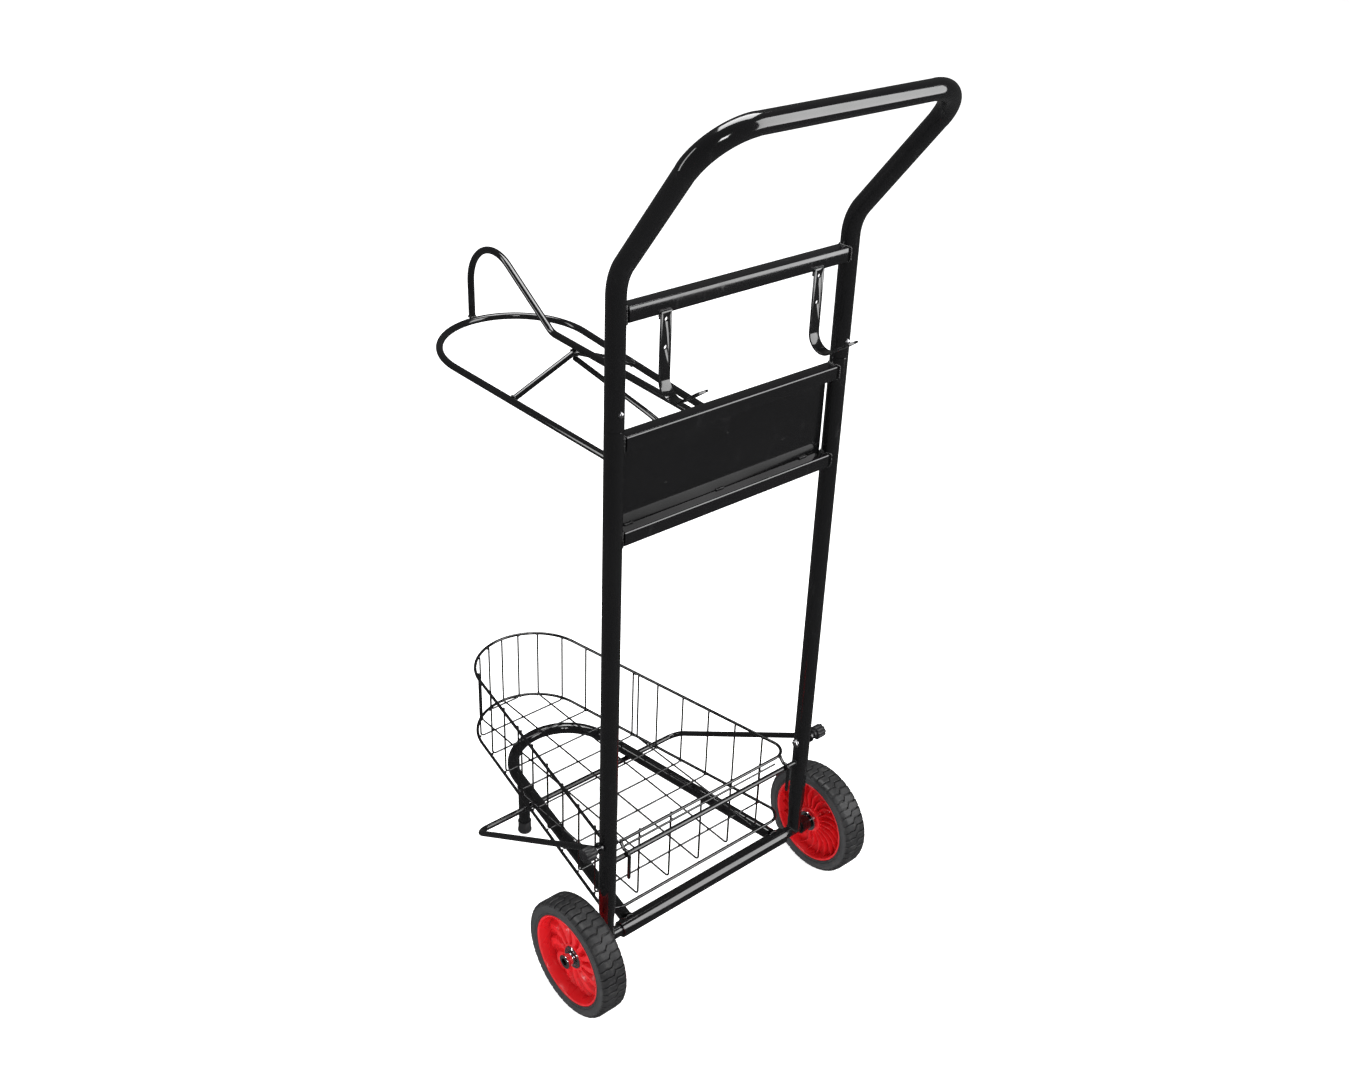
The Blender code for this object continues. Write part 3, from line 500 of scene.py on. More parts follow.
def end_tree(tree, geometry, given, made):
    """Ends a tree: copies made real and the finish set."""
    real = tree.node("GeometryNodeRealizeInstances", {}, {0: geometry})
    painted = tree.node("GeometryNodeSetMaterial", {}, {"Geometry": real, "Material": given.out("Finish")})
    tree.raw.links.new(painted.out().socket, made.raw.inputs[0])
    return tree.raw


def run_tree(raw, mesh, values):
    """A mesh sent through a geometry tree with these input values, back as a plain mesh."""
    obj = scratch(mesh)
    modifier = obj.modifiers.new("make", "NODES")
    modifier.node_group = raw
    for item in raw.interface.items_tree:
        if item.in_out == "INPUT" and item.name in values:
            modifier[item.identifier] = values[item.name]
    return evaluated(obj)


def tube_tree():
    tree, given, made = new_tree("metal_round_a_path", (
        ("Radius", "NodeSocketFloat", 0.01), ("Sides", "NodeSocketInt", 24)))
    line = tree.node("GeometryNodeMeshToCurve", {}, {0: given.out("Geometry")})
    swell = tree.node("GeometryNodeInputNamedAttribute", {"data_type": "FLOAT"}, {"Name": "swell"})
    ring = tree.node("GeometryNodeCurvePrimitiveCircle", {"mode": "RADIUS"}, {
        "Resolution": given.out("Sides"), "Radius": given.out("Radius")})
    skin = tree.node("GeometryNodeCurveToMesh", {}, {
        "Curve": line, "Profile Curve": ring, "Scale": swell, "Fill Caps": True})
    return end_tree(tree, skin, given, made)


TUBE_TREE = tube_tree()


def metal(paths, radius, sides=24, closed=False, swell=None):
    """Rod, wire or tube along one path or several."""
    if not isinstance(paths[0], (list, tuple)) or not isinstance(paths[0][0], (list, tuple, Vector)):
        paths = [paths]
    return run_tree(TUBE_TREE, line_mesh(paths, closed, swell),
                    {"Radius": radius, "Sides": sides, "Finish": PAINT})


print("tube tree with", len(TUBE_TREE.nodes), "nodes")

# %% [markdown]
# ## Turned shapes and shapes carried along a line
#
# Turned parts are a profile of (radius, x) pairs taken round the X axis. Flat bar and square tube are a
# section carried along a path. Both are short mesh functions, since each point's place is known exactly.

# %% turned and carried
def mesh_of(name, points, faces):
    mesh = bpy.data.meshes.new(name)
    mesh.from_pydata([tuple(p) for p in points], [], faces)
    shape = bmesh.new()
    shape.from_mesh(mesh)
    bmesh.ops.remove_doubles(shape, verts=shape.verts, dist=1e-7)
    bmesh.ops.recalc_face_normals(shape, faces=shape.faces)
    shape.to_mesh(mesh)
    shape.free()
    return mesh


def strip(rows, count, closed=False):
    """Four-sided faces between rows of points that are numbered row by row."""
    faces = []
    for row in range(rows if closed else rows - 1):
        a, b = row * count, (row + 1) % rows * count
        faces += [(a + k, a + (k + 1) % count, b + (k + 1) % count, b + k) for k in range(count)]
    return faces


def capped(rows, count):
    """The same for an open strip, with its two ends closed."""
    last = (rows - 1) * count
    return strip(rows, count) + [tuple(range(count)), tuple(range(last, last + count))]


def turned(profile, steps=96, axis=0):
    """A profile of (radius, height) pairs turned about an axis; a first or last radius of 0 closes a pole."""
    poles = profile[0][0] == 0 and profile[-1][0] == 0
    body = profile[1:-1] if poles else profile
    order = {0: lambda r, a, h: (h, r * cos(a), r * sin(a)), 1: lambda r, a, h: (r * cos(a), h, r * sin(a)),
             2: lambda r, a, h: (r * cos(a), r * sin(a), h)}[axis]
    points = [order(r, 2 * pi * s / steps, h) for r, h in body for s in range(steps)]
    faces = strip(len(body), steps, closed=not poles)
    if poles:
        for row, height in ((0, profile[0][1]), (len(body) - 1, profile[-1][1])):
            points.append(order(0.0, 0.0, height))
            faces += [(row * steps + s, row * steps + (s + 1) % steps, len(points) - 1) for s in range(steps)]
    return mesh_of("turned", points, faces)


def rounded_box_section(wide, high, corner, steps=4):
    """Section points of a rectangle with round corners."""
    points = []
    for quarter, (sx, sy) in enumerate(((1, 1), (-1, 1), (-1, -1), (1, -1))):
        for k in range(steps + 1):
            a = pi / 2 * (quarter + k / steps)
            x, y = sx * (wide / 2 - corner), sy * (high / 2 - corner)
            points.append((x + corner * cos(a), y + corner * sin(a)))
    return points


def carried(section, path, across, sizes=None):
    """A section carried along a path with flat ends; sizes gives a pair of factors at each point."""
    path = [Vector(p) for p in path]
    across = Vector(across)
    points = []
    for i, place in enumerate(path):
        along = (path[min(i + 1, len(path) - 1)] - path[max(i - 1, 0)]).normalized()
        across = (across - along * across.dot(along)).normalized()
        other = along.cross(across)
        wide, high = sizes[i] if sizes else (1.0, 1.0)
        points += [place + across * (a * wide) + other * (b * high) for a, b in section]
    return mesh_of("carried", points, capped(len(path), len(section)))


def softened(mesh, width, segments=2, angle=35.0):
    """The mesh with its sharp edges rounded a little, as sprayed metal always is."""
    obj = scratch(mesh)
    bevel = obj.modifiers.new("soft", "BEVEL")
    bevel.width = width
    bevel.segments = segments
    bevel.limit_method = "ANGLE"
    bevel.angle_limit = radians(angle)
    bevel.harden_normals = False
    return evaluated(obj)


def joined(meshes, material=None):
    """Several meshes as one."""
    shape = bmesh.new()
    for mesh in meshes:
        shape.from_mesh(mesh)
    out = bpy.data.meshes.new("joined")
    shape.to_mesh(out)
    shape.free()
    if material:
        out.materials.append(material)
    return out


def moved(mesh, matrix):
    mesh.transform(matrix)
    return mesh


def placed(mesh, s, place):
    """A mesh drawn with its outside towards +X, set at a place on the left (s = 1) or the right (s = -1)."""
    turn = Matrix.Identity(4) if s > 0 else Matrix.Rotation(pi, 4, "Z")
    return moved(mesh, Matrix.Translation(place) @ turn)


print("turning and carrying ready")

# %% [markdown]
# ## The uprights
#
# Two straight lengths of tube carry everything. At the foot each is drawn in and shaped to sit on the axle
# like a saddle on a horse, which is done here by lowering every point of the last ring onto the axle.

# %% Uprights
JOINT_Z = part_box("upright_left")[1].z
FOOT_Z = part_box("upright_left")[0].z
AXLE_R = span("axle", 1) / 2
DRAWN_IN = 0.84


def upright(side, s):
    heights = [FOOT_Z, 0.112, 0.124, 0.130, 0.137, 0.145, 0.152, 0.160, 0.30, 0.60, JOINT_Z - 0.0012,
               JOINT_Z - 0.0003, JOINT_Z]
    sizes = [DRAWN_IN] * 3 + [0.855, 0.90, 0.95, 0.985, 1, 1, 1, 1, 0.985, 0.93]
    section = [(TUBE_R * cos(2 * pi * k / 40), TUBE_R * sin(2 * pi * k / 40)) for k in range(40)]
    mesh = carried(section, [(s * FRAME_HALF, 0, z) for z in heights], (1, 0, 0), [(f, f) for f in sizes])
    for point in mesh.vertices:
        if point.co.z < FOOT_Z + 0.0001:
            reach = min(abs(point.co.y), AXLE_R * 0.98)
            point.co.z = AXLE_Z + sqrt(AXLE_R ** 2 - reach ** 2)
    black("upright_%s_tube" % side, mesh, ["upright_" + side])


for side, s in SIDES:
    upright(side, s)
print("uprights reach z = %.3f" % JOINT_Z)

# %% [markdown]
# ## The handle
#
# One tube, bent four times: two kinks lean the legs back, and two wide bends carry them into the top bar.
# On a cheap bender the wide bends come out a little oval, so `swell` rises on them and steps back where the
# former let go. That short step is a good place for light to catch.

# %% Handle
KINK_Z, HANDLE_Y, HANDLE_Z, HANDLE_HALF = 1.095, 0.153, 1.289, 0.196
KINK_R, CORNER_R, BEND_STEPS = 0.070, 0.062, 20


def handle_tube():
    legs = [(FRAME_HALF, 0, JOINT_Z + 0.0003), (FRAME_HALF, 0, KINK_Z), (HANDLE_HALF, HANDLE_Y, HANDLE_Z)]
    corners = legs + [(-x, y, z) for x, y, z in reversed(legs)]
    path = bent(corners, (KINK_R, CORNER_R, CORNER_R, KINK_R), BEND_STEPS)
    swell = [1.0] * len(path)
    for corner in (1, 2):
        start = 1 + corner * (BEND_STEPS + 1)
        for k in range(BEND_STEPS + 1):
            swell[start + k] = 1.0 + 0.055 * sin(pi * k / BEND_STEPS) ** 0.35
    black("handle_bar", metal(path, TUBE_R, 40, swell=swell), ["handle_tube"])


handle_tube()
print("handle top at z = %.3f" % (HANDLE_Z + TUBE_R))

# %% [markdown]
# ## Square rails and the panel
#
# Rectangular tube has corner radii of about its wall thickness, and the panel is thin sheet whose cut edge
# is softened by the paint. A section carried along a straight line, then one small bevel, gives both.

# %% Rails and panel
RAIL_CORNER = 0.0022
for name in ("upper_rail", "middle_rail", "lower_rail"):
    low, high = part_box(name)
    section = rounded_box_section(high.y - low.y, high.z - low.z, RAIL_CORNER)
    z = middle(name, 2)
    mesh = carried(section, [(low.x - 0.0004, 0, z), (high.x + 0.0004, 0, z)], (0, 1, 0))
    black(name + "_tube", mesh, [name])


def back_panel():
    low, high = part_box("back_panel")
    y = (low.y + high.y) / 2 - SHIFT_Y
    section = rounded_box_section(high.y - low.y, high.z - low.z, 0.0006, 3)
    z = middle("back_panel", 2)
    mesh = carried(section, [(low.x, y, z), (high.x, y, z)], (0, 1, 0))
    black("back_panel_sheet", mesh, ["back_panel"])
    return high.y - SHIFT_Y, low.y - SHIFT_Y


PANEL_REAR_Y, PANEL_FRONT_Y = back_panel()
print("panel from y = %.4f to %.4f" % (PANEL_FRONT_Y, PANEL_REAR_Y))

# %% [markdown]
# ## Bridle hooks
#
# Each hook is flat bar with two holes, bent to a J after drilling. The holes are cut with a Boolean and the
# long edges rounded afterwards, so the bevel also softens the rims of the holes. Paint always wears first on
# such edges, which is why the hooks have the edged paint.

# %% Hooks
HOOK_WIDE, HOOK_THICK, HOOK_HOLE_R, HOOK_BEND_R = span("hook_left", 0), 0.003, 0.0028, 0.022
HOOK_LOW_Z, HOOK_TIP_Y, HOOK_TIP_Z, HOOK_HOLES_Z = 0.9165, 0.080, 0.9665, (1.034, 0.999)
HOOK_TOP_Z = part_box("hook_left")[1].z
HOOK_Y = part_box("hook_left")[0].y - SHIFT_Y + HOOK_THICK / 2


def bridle_hook(side):
    x = middle("hook_" + side, 0)
    path = bent([(x, HOOK_Y, HOOK_TOP_Z), (x, HOOK_Y, HOOK_LOW_Z), (x, HOOK_TIP_Y, HOOK_TIP_Z)],
                (HOOK_BEND_R,), 16)
    obj = scratch(carried(rounded_box_section(HOOK_WIDE, HOOK_THICK, 0.0005, 1), path, (1, 0, 0)))
    drills = []
    deep = 0.01
    for z in HOOK_HOLES_Z:
        profile = [(0, -deep), (HOOK_HOLE_R, -deep), (HOOK_HOLE_R, deep), (0, deep)]
        drill = scratch(turned(profile, 32, axis=1))
        drill.location = (x, HOOK_Y, z)
        cut = obj.modifiers.new("hole", "BOOLEAN")
        cut.solver = "EXACT"
        cut.object = drill
        drills.append(drill)
    mesh = evaluated(obj)
    for drill in drills:
        bpy.data.objects.remove(drill)
    piece("bridle_hook_" + side, softened(mesh, 0.0004), PAINT_EDGED, "frame", ["hook_" + side])


for side in ("left", "right"):
    bridle_hook(side)
print("hooks hang from z = %.3f" % HOOK_TOP_Z)

# %% [markdown]
# ## The saddle rack
#
# A round-fronted loop carries the saddle's panels, a spine above it fits the gullet and rises to a horn, a V
# keeps the spine off the loop, and a strut braces the V against the panel. All four are the same 10 mm rod
# or lighter, so all four are one call each.

# %% Rack
RACK_R, RACK_Z, RACK_RISE = 0.00525, 0.7862, 0.0451
RACK_HALF, RACK_FRONT_R, RACK_FRONT_Y = 0.094, 0.117, -0.464
SPINE_Z, SPINE_RISE, HORN_FOOT_Y, HORN_SLOPE, HORN_FRONT_Y = 0.846, 0.031, -0.380, 0.652, -0.588
HORN_BENDS, CROSS_Y, CROSS_R, STRUT_R, STRUT_FOOT_Z = (0.030, 0.065), -0.327, 0.0045, 0.004, 0.785
RACK_TAPER = taper_of(RACK_HALF, 0, RACK_FRONT_R, RACK_FRONT_Y)


def rack_height(y):
    return RACK_Z - RACK_RISE * y


def spine_height(y):
    return SPINE_Z - SPINE_RISE * y


def rack():
    plan = [(RACK_HALF, PANEL_FRONT_Y)] + front_arc(RACK_FRONT_R, RACK_FRONT_Y, RACK_TAPER)
    loop = [(x, y, rack_height(y)) for x, y in plan + [(-RACK_HALF, PANEL_FRONT_Y)]]
    black("saddle_rack_loop", metal(loop, RACK_R, 28), ["rack_loop"])
    horn_foot = spine_height(HORN_FOOT_Y)
    horn_top = horn_foot + HORN_SLOPE * (HORN_FOOT_Y - HORN_FRONT_Y)
    landing = rack_height(RACK_FRONT_Y - RACK_FRONT_R) + RACK_R * 0.7
    spine = bent([(0, PANEL_FRONT_Y, spine_height(0)), (0, HORN_FOOT_Y, horn_foot),
                  (0, HORN_FRONT_Y, horn_top), (0, HORN_FRONT_Y, landing)], HORN_BENDS, 24)
    black("saddle_rack_spine", metal(spine, RACK_R, 28), ["rack_spine"])
    side_x = RACK_FRONT_R / cos(RACK_TAPER) + (CROSS_Y - RACK_FRONT_Y) * tan(RACK_TAPER)
    side = Vector((side_x, CROSS_Y, rack_height(CROSS_Y)))
    peak = Vector((0, CROSS_Y, spine_height(CROSS_Y) - RACK_R - CROSS_R + 0.0006))
    foot = side + (peak - side).normalized() * RACK_R * 0.8
    v_path = bent([foot, peak, (-foot.x, foot.y, foot.z)], (0.012,), 8)
    black("saddle_rack_v", metal(v_path, CROSS_R, 24), ["rack_cross_brace"])
    top = Vector((0, CROSS_Y, peak.z - CROSS_R - STRUT_R - 0.001))
    knee = Vector((0, (CROSS_Y + PANEL_FRONT_Y) / 2, (top.z + STRUT_FOOT_Z) / 2 + 0.003))
    strut = bent([top, knee, (0, PANEL_FRONT_Y, STRUT_FOOT_Z)], (0.3,), 10)
    black("saddle_rack_strut", metal(strut, STRUT_R, 20), ["rack_strut"])
    return side, peak


RACK_SIDE, RACK_PEAK = rack()
print("rack reaches y = %.3f" % (RACK_FRONT_Y - RACK_FRONT_R))

# %% [markdown]
# ## Cross rod, axle, sleeve and toe loop
#
# The cross rod carries the basket, the axle runs through a sleeve that the toe loop is welded to, and two
# legs with rubber caps hold the loop level when the cart is parked. The axle is bright where it shows beyond
# the wheels, so its own finish is plating and the sleeve and spacers over it are painted.

# %% Lower frame
def straight(name, node, axis, radius, finish, sides=32, grow=0.0, bore=None):
    """A straight round piece on its CAD node's own axis and length, with softened ends."""
    low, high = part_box(node)
    place = Vector([(a + b) / 2 for a, b in zip(low, high)]) - Vector((0, SHIFT_Y, 0))
    half = (high[axis] - low[axis]) / 2 + grow
    soft = min(0.0006, radius / 5)
    profile = [(0, -half), (radius - soft, -half), (radius, soft - half), (radius, half - soft),
               (radius - soft, half), (0, half)]
    if bore:
        profile = profile[1:-1] + [(bore, half), (bore, -half)]
    mesh = moved(turned(profile, sides, axis=axis), Matrix.Translation(place))
    return piece(name, mesh, finish, "frame", [node])


CROSS_ROD_R = span("cross_rod", 2) / 2
TOUCH = 0.0003
SUNK = 0.0006
straight("cross_rod_bar", "cross_rod", 0, CROSS_ROD_R, PAINT, grow=SUNK)
straight("axle_bar", "axle", 0, AXLE_R, AXLE, 48, bore=0.006)
straight("toe_sleeve", "platform_sleeve", 0, TUBE_R, PAINT, 48, bore=AXLE_R + TOUCH)
LOOP_R, LOOP_HALF, LOOP_FRONT_R, LOOP_FRONT_Y, LOOP_Z, LOOP_RISE = 0.0095, 0.148, 0.090, -0.348, 0.0958, 0.017
LOOP_TAPER = taper_of(LOOP_HALF, 0, LOOP_FRONT_R, LOOP_FRONT_Y)


def loop_height(y):
    return LOOP_Z - LOOP_RISE * y


def toe_loop():
    start_y = -TUBE_R * 0.75
    side_x = LOOP_FRONT_R / cos(LOOP_TAPER) + (start_y - LOOP_FRONT_Y) * tan(LOOP_TAPER)
    plan = [(side_x, start_y)] + front_arc(LOOP_FRONT_R, LOOP_FRONT_Y, LOOP_TAPER) + [(-side_x, start_y)]
    path = [(x, y, loop_height(y)) for x, y in plan]
    black("toe_loop_tube", metal(path, LOOP_R, 36), ["toe_loop"])
    return side_x


LOOP_END_X = toe_loop()
for side, s in SIDES:
    spacer, leg = "wheel_spacer_" + side, "toe_leg_" + side
    straight(spacer + "_tube", spacer, 0, TUBE_R, PAINT, 40, bore=AXLE_R + TOUCH)
    straight(leg + "_tube", leg, 2, LOOP_R, PAINT, 36, grow=SUNK)
print("toe loop front at y = %.3f" % (LOOP_FRONT_Y - LOOP_FRONT_R))

# %% [markdown]
# ## A ring of copies
#
# A wheel repeats itself: tread blocks, ribs, knob lobes. The second tree takes one block, lying at the top of
# the wheel, and puts copies round the X axis by turning each by its own index. Making one block and counting
# is how the mould itself is cut, and changing the count keeps the ring closed.

# %% The ring tree
def ring_tree():
    tree, given, made = new_tree("copies_round_x", (("Count", "NodeSocketInt", 12),))
    spots = tree.node("GeometryNodePoints", {}, {"Count": given.out("Count")})
    index = tree.node("GeometryNodeInputIndex").out()
    angle = index * (2 * pi) / given.out("Count")
    turn = tree.node("ShaderNodeCombineXYZ", {}, {"X": angle})
    copies = tree.node("GeometryNodeInstanceOnPoints", {}, {
        "Points": spots, "Instance": given.out("Geometry"), "Rotation": turn})
    return end_tree(tree, copies, given, made)


RING_TREE = ring_tree()


def ring_of(block, count, finish):
    return run_tree(RING_TREE, block, {"Count": count, "Finish": finish})


def at_wheel(mesh, s):
    """A mesh drawn about the origin with its outside towards +X, moved to the left or right wheel."""
    return placed(mesh, s, (s * WHEEL_X, 0, AXLE_Z))


WHEEL_X = middle("tyre_left", 0)
WHEEL_R = span("tyre_left", 2) / 2
RIM_R = span("rim_left", 2) / 2
RIM_HALF = span("rim_left", 0) / 2
print("wheel of %.0f mm at x = %.4f" % (2000 * WHEEL_R, WHEEL_X))

# %% [markdown]
# ## Tyres
#
# A solid tyre is a plain ring with blocks standing on it. The blocks are wavy bars that run from shoulder to
# shoulder with a Z-shaped step near the middle, and they fall away at the shoulders, which gives the wheel
# its saw-toothed outline. The carcass is turned; one bar is drawn and then copied round.

# %% Tyres
TREAD_BARS, TREAD_GROOVE = 44, 0.0024


def tread_bar():
    """One bar across the tread, on top of the wheel, with its waves running along X."""
    w = (2 * pi * WHEEL_R / TREAD_BARS - TREAD_GROOVE) / 2
    points = []
    stations = (-0.0212, -0.0196, -0.0172, -0.0125, -0.0070, -0.0032, 0.0012, 0.0055, 0.0100, 0.0150, 0.0182,
                0.0200, 0.0212)
    for x in stations:
        step = 0.0030 * (1 if x > 0 else -1) * min(1.0, abs(x + 0.001) / 0.0024)
        shift = step + 0.0006 * sin(x * 420.0)
        fall = max(0.0, (abs(x) - 0.0150) / 0.0062)
        top = WHEEL_R - 0.0002 - 0.0042 * fall ** 2
        low = top - 0.0034
        points += [(x, shift - w, low), (x, shift - w, top - 0.0007), (x, shift - w + 0.0006, top - 0.0001),
                   (x, shift, top), (x, shift + w - 0.0006, top - 0.0001), (x, shift + w, top - 0.0007),
                   (x, shift + w, low)]
    return mesh_of("bar", points, capped(len(stations), len(points) // len(stations)))


def tyre(side, s):
    bead = ((0.0004, 0.0196), (0.0007, 0.0208), (0.0016, 0.0214), (0.0024, 0.0209), (0.0030, 0.0203),
            (0.0040, 0.0205), (0.0048, 0.0218), (0.0062, 0.0224))
    wall = [(RIM_R + up, x) for up, x in bead]
    wall += [(0.0800, 0.0225), (0.0822, 0.0222), (0.0838, 0.0214), (0.0849, 0.0198), (0.0858, 0.0175),
             (0.0866, 0.0140), (0.0870, 0.0080), (0.0871, 0.0)]
    profile = wall + [(r, -x) for r, x in reversed(wall[:-1])]
    carcass = turned(profile, 144)
    tread = ring_of(tread_bar(), TREAD_BARS, TYRE)
    mesh = at_wheel(joined([carcass, tread], TYRE), s)
    piece("tyre_%s_moulding" % side, mesh, TYRE, "wheel_" + side, ["tyre_" + side], smooth=32)


for side, s in SIDES:
    tyre(side, s)
print("tread bars:", TREAD_BARS)

# %% [markdown]
# ## Wheel centres
#
# Outside, the centre is a dish with twelve broad swirling petals; inside, it is stiffened with thin ribs that
# run out straight and then lean. The petals follow a rule, so they are a turned shape whose height also
# depends on the angle: a cosine in the angle, carried round by the square of the radius and clipped to give
# the petals flat tops and sloping sides. The thin ribs are one bar copied round.

# %% Rims
PETALS, RIBS, BARREL, HUB_R = 12, 22, 0.003, 0.0205
FLANGE_R = span("hub_bushing_left", 2) / 2
HUB_FACE, WEB_BACK = 0.0090, -0.0045


def petal_web():
    """The web of the wheel, its outer face raised in swirling petals."""
    inner, outer = HUB_R - 0.0008, RIM_R - BARREL + 0.0006
    rows, steps = 16, PETALS * 22
    points = []
    for r, x in ((inner, WEB_BACK), (outer, WEB_BACK)):
        points += [(x, r * cos(2 * pi * k / steps), r * sin(2 * pi * k / steps)) for k in range(steps)]
    for i in range(rows + 1):
        f = 1 - i / rows
        r = inner + (outer - inner) * f
        raised = 0.0082 - 0.0034 * f - 0.0022 * f ** 3
        sunk = 0.0030 - 0.0040 * f ** 0.5
        meet = min(1.0, (1 - f) * 9 + 0.15)
        for k in range(steps):
            a = 2 * pi * k / steps
            swell = cos(PETALS * (a - 0.42 * f ** 2)) * 2.6 + 0.5
            height = min(1.0, max(0.0, 0.5 + swell / 2))
            height = height * height * (3 - 2 * height)
            points.append((sunk + (raised - sunk) * height * meet, r * cos(a), r * sin(a)))
    return mesh_of("petals", points, strip(rows + 3, steps, closed=True))


RIB_HALF = 0.00065


def thin_rib():
    """One rib on the inside of the wheel: straight out, then leaning, and lower towards the barrel."""
    turns = ((0.0196, 0.0), (0.030, 0.015), (0.041, 0.0), (0.050, -0.10), (0.059, -0.22), (0.0676, -0.33))
    path = [(sin(a) * r, cos(a) * r) for r, a in turns]
    points, root = [], -0.004
    for i, (y, z) in enumerate(path):
        away = Vector((0, z, -y)).normalized() * RIB_HALF
        edge = -RIM_HALF + 0.0062 + 0.0022 * i / 5
        flank = edge + 0.0005
        for side, height in ((1, root), (1, flank), (0.6, edge), (-0.6, edge), (-1, flank), (-1, root)):
            points.append((height, y + side * away.y, z + side * away.z))
    return mesh_of("rib", points, capped(len(path), len(points) // len(path)))


def rim(side, s):
    h, bore = RIM_HALF, 0.0142
    lip = [(RIM_R - BARREL - 0.0004, h - 0.0016), (RIM_R - BARREL + 0.0001, h - 0.0006), (RIM_R - 0.0021, h),
           (RIM_R - 0.0006, h), (RIM_R, h - 0.0006)]
    barrel = turned([(RIM_R - BARREL - 0.0012, 0.0)] + lip + [(r, -x) for r, x in reversed(lip)], 144)
    hub = turned([(bore, 0.004 - h), (HUB_R - 0.0006, 0.004 - h), (HUB_R, 0.0046 - h), (HUB_R + 0.0004, 0.0),
                  (HUB_R, HUB_FACE - 0.0006), (HUB_R - 0.0006, HUB_FACE), (FLANGE_R + 0.0005, HUB_FACE),
                  (FLANGE_R + 0.0004, HUB_FACE - 0.0018), (bore, HUB_FACE - 0.0018)], 96)
    parts = [barrel, hub, petal_web(), ring_of(thin_rib(), RIBS, RED)]
    mesh = at_wheel(joined(parts, RED), s)
    piece("rim_%s_moulding" % side, mesh, RED, "wheel_" + side, ["rim_" + side], smooth=38)


for side, s in SIDES:
    rim(side, s)
print("petals and ribs:", PETALS, RIBS)

# %% [markdown]
# ## Hub and axle end
#
# Each hub has a plated steel bushing, whose flange was turned in steps, and the wheel is kept on by a ring on
# the very end of the axle. They are small, but they are the only mirror-bright things on the cart.

# %% Bushings and end rings
def bushing(side, s):
    bore = AXLE_R + 0.0004
    seat = HUB_FACE - 0.0017
    face = seat + 0.0030
    outside = [(bore, face - 0.0030), (bore + 0.0018, face - 0.0030), (bore + 0.0021, face - 0.0012),
               (bore + 0.0026, face - 0.0008), (0.0124, face - 0.0008),
               (0.0127, face - 0.0002), (0.0140, face),
               (0.0147, face - 0.0007), (0.0153, face - 0.0007), (0.0157, face - 0.0001),
               (FLANGE_R - 0.0006, face - 0.0001), (FLANGE_R, face - 0.0007), (FLANGE_R, seat)]
    inside = [(0.0139, seat), (0.0139, -0.0180), (0.0162, -0.0184), (0.0168, -0.0190), (0.0168, -0.0216),
              (0.0160, -0.0222), (bore, -0.0222)]
    mesh, node = at_wheel(turned(outside + inside, 96), s), "hub_bushing_" + side
    piece(node + "_turned", mesh, CHROME, "wheel_" + side, [node], smooth=28)


def end_ring(side, s):
    low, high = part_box("axle_clip_left")
    lo, hi, r = low.x - WHEEL_X, high.x - WHEEL_X, (high.z - low.z) / 2
    inner, on_axle = 0.0068, AXLE_R - 0.0004
    mesh = turned([(on_axle, lo), (r - 0.0008, lo), (r, lo + 0.0008), (r, hi - 0.0009),
                   (r - 0.0003, hi - 0.0003), (r - 0.0010, hi), (inner + 0.0010, hi), (inner, hi - 0.0008),
                   (inner - 0.0002, hi - 0.0030), (on_axle, hi - 0.0034)], 72)
    node = "axle_clip_" + side
    body = frame["nodes"][node]["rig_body"]
    piece("axle_end_ring_" + side, at_wheel(mesh, s), CHROME, body, [node], smooth=28)


for side, s in SIDES:
    bushing(side, s)
    end_ring(side, s)
print("bushing flange of %.1f mm" % (2000 * FLANGE_R))

# %% [markdown]
# ## Foot caps, buttons and pivot bolts
#
# The small bought-in parts. The rubber caps are pushed over the legs, so they have a rolled top edge and a
# tread foot slightly wider than the sleeve. The snap buttons are domed pins. The bolts have hexagon heads.

# %% Small parts
def foot_cap(side):
    node = "foot_cap_" + side
    low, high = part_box(node)
    r, top = (high.x - low.x) / 2, high.z
    leg, sole = LOOP_R + TOUCH, 0.004
    profile = [(0, 0.0), (r - 0.0022, 0.0), (r - 0.0006, 0.0005), (r, 0.0018), (r, 0.0042),
               (r - 0.0007, 0.0056), (r - 0.0009, top - 0.0030), (r - 0.0003, top - 0.0018),
               (r - 0.0003, top - 0.0006), (r - 0.0009, top), (leg, top), (leg, sole), (0, sole)]
    mesh = moved(turned(profile, 48, axis=2), Matrix.Translation((middle(node, 0), LOOP_FRONT_Y, 0)))
    piece("foot_cap_%s_rubber" % side, mesh, CAP, "frame", [node])


def snap_button(side):
    node = "snap_button_" + side
    r, seat, tip = 0.0038, TUBE_R - 0.004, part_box(node)[1].y - SHIFT_Y
    profile = [(0, seat), (r, seat), (r, tip - 0.0022), (r * 0.96, tip - 0.0014), (r * 0.82, tip - 0.0007),
               (r * 0.55, tip - 0.0002), (0, tip)]
    place = Matrix.Translation((middle(node, 0), 0, middle(node, 2)))
    mesh = moved(turned(profile, 40, axis=1), place)
    piece(node + "_pin", mesh, ZINC, "button_" + side, [node])


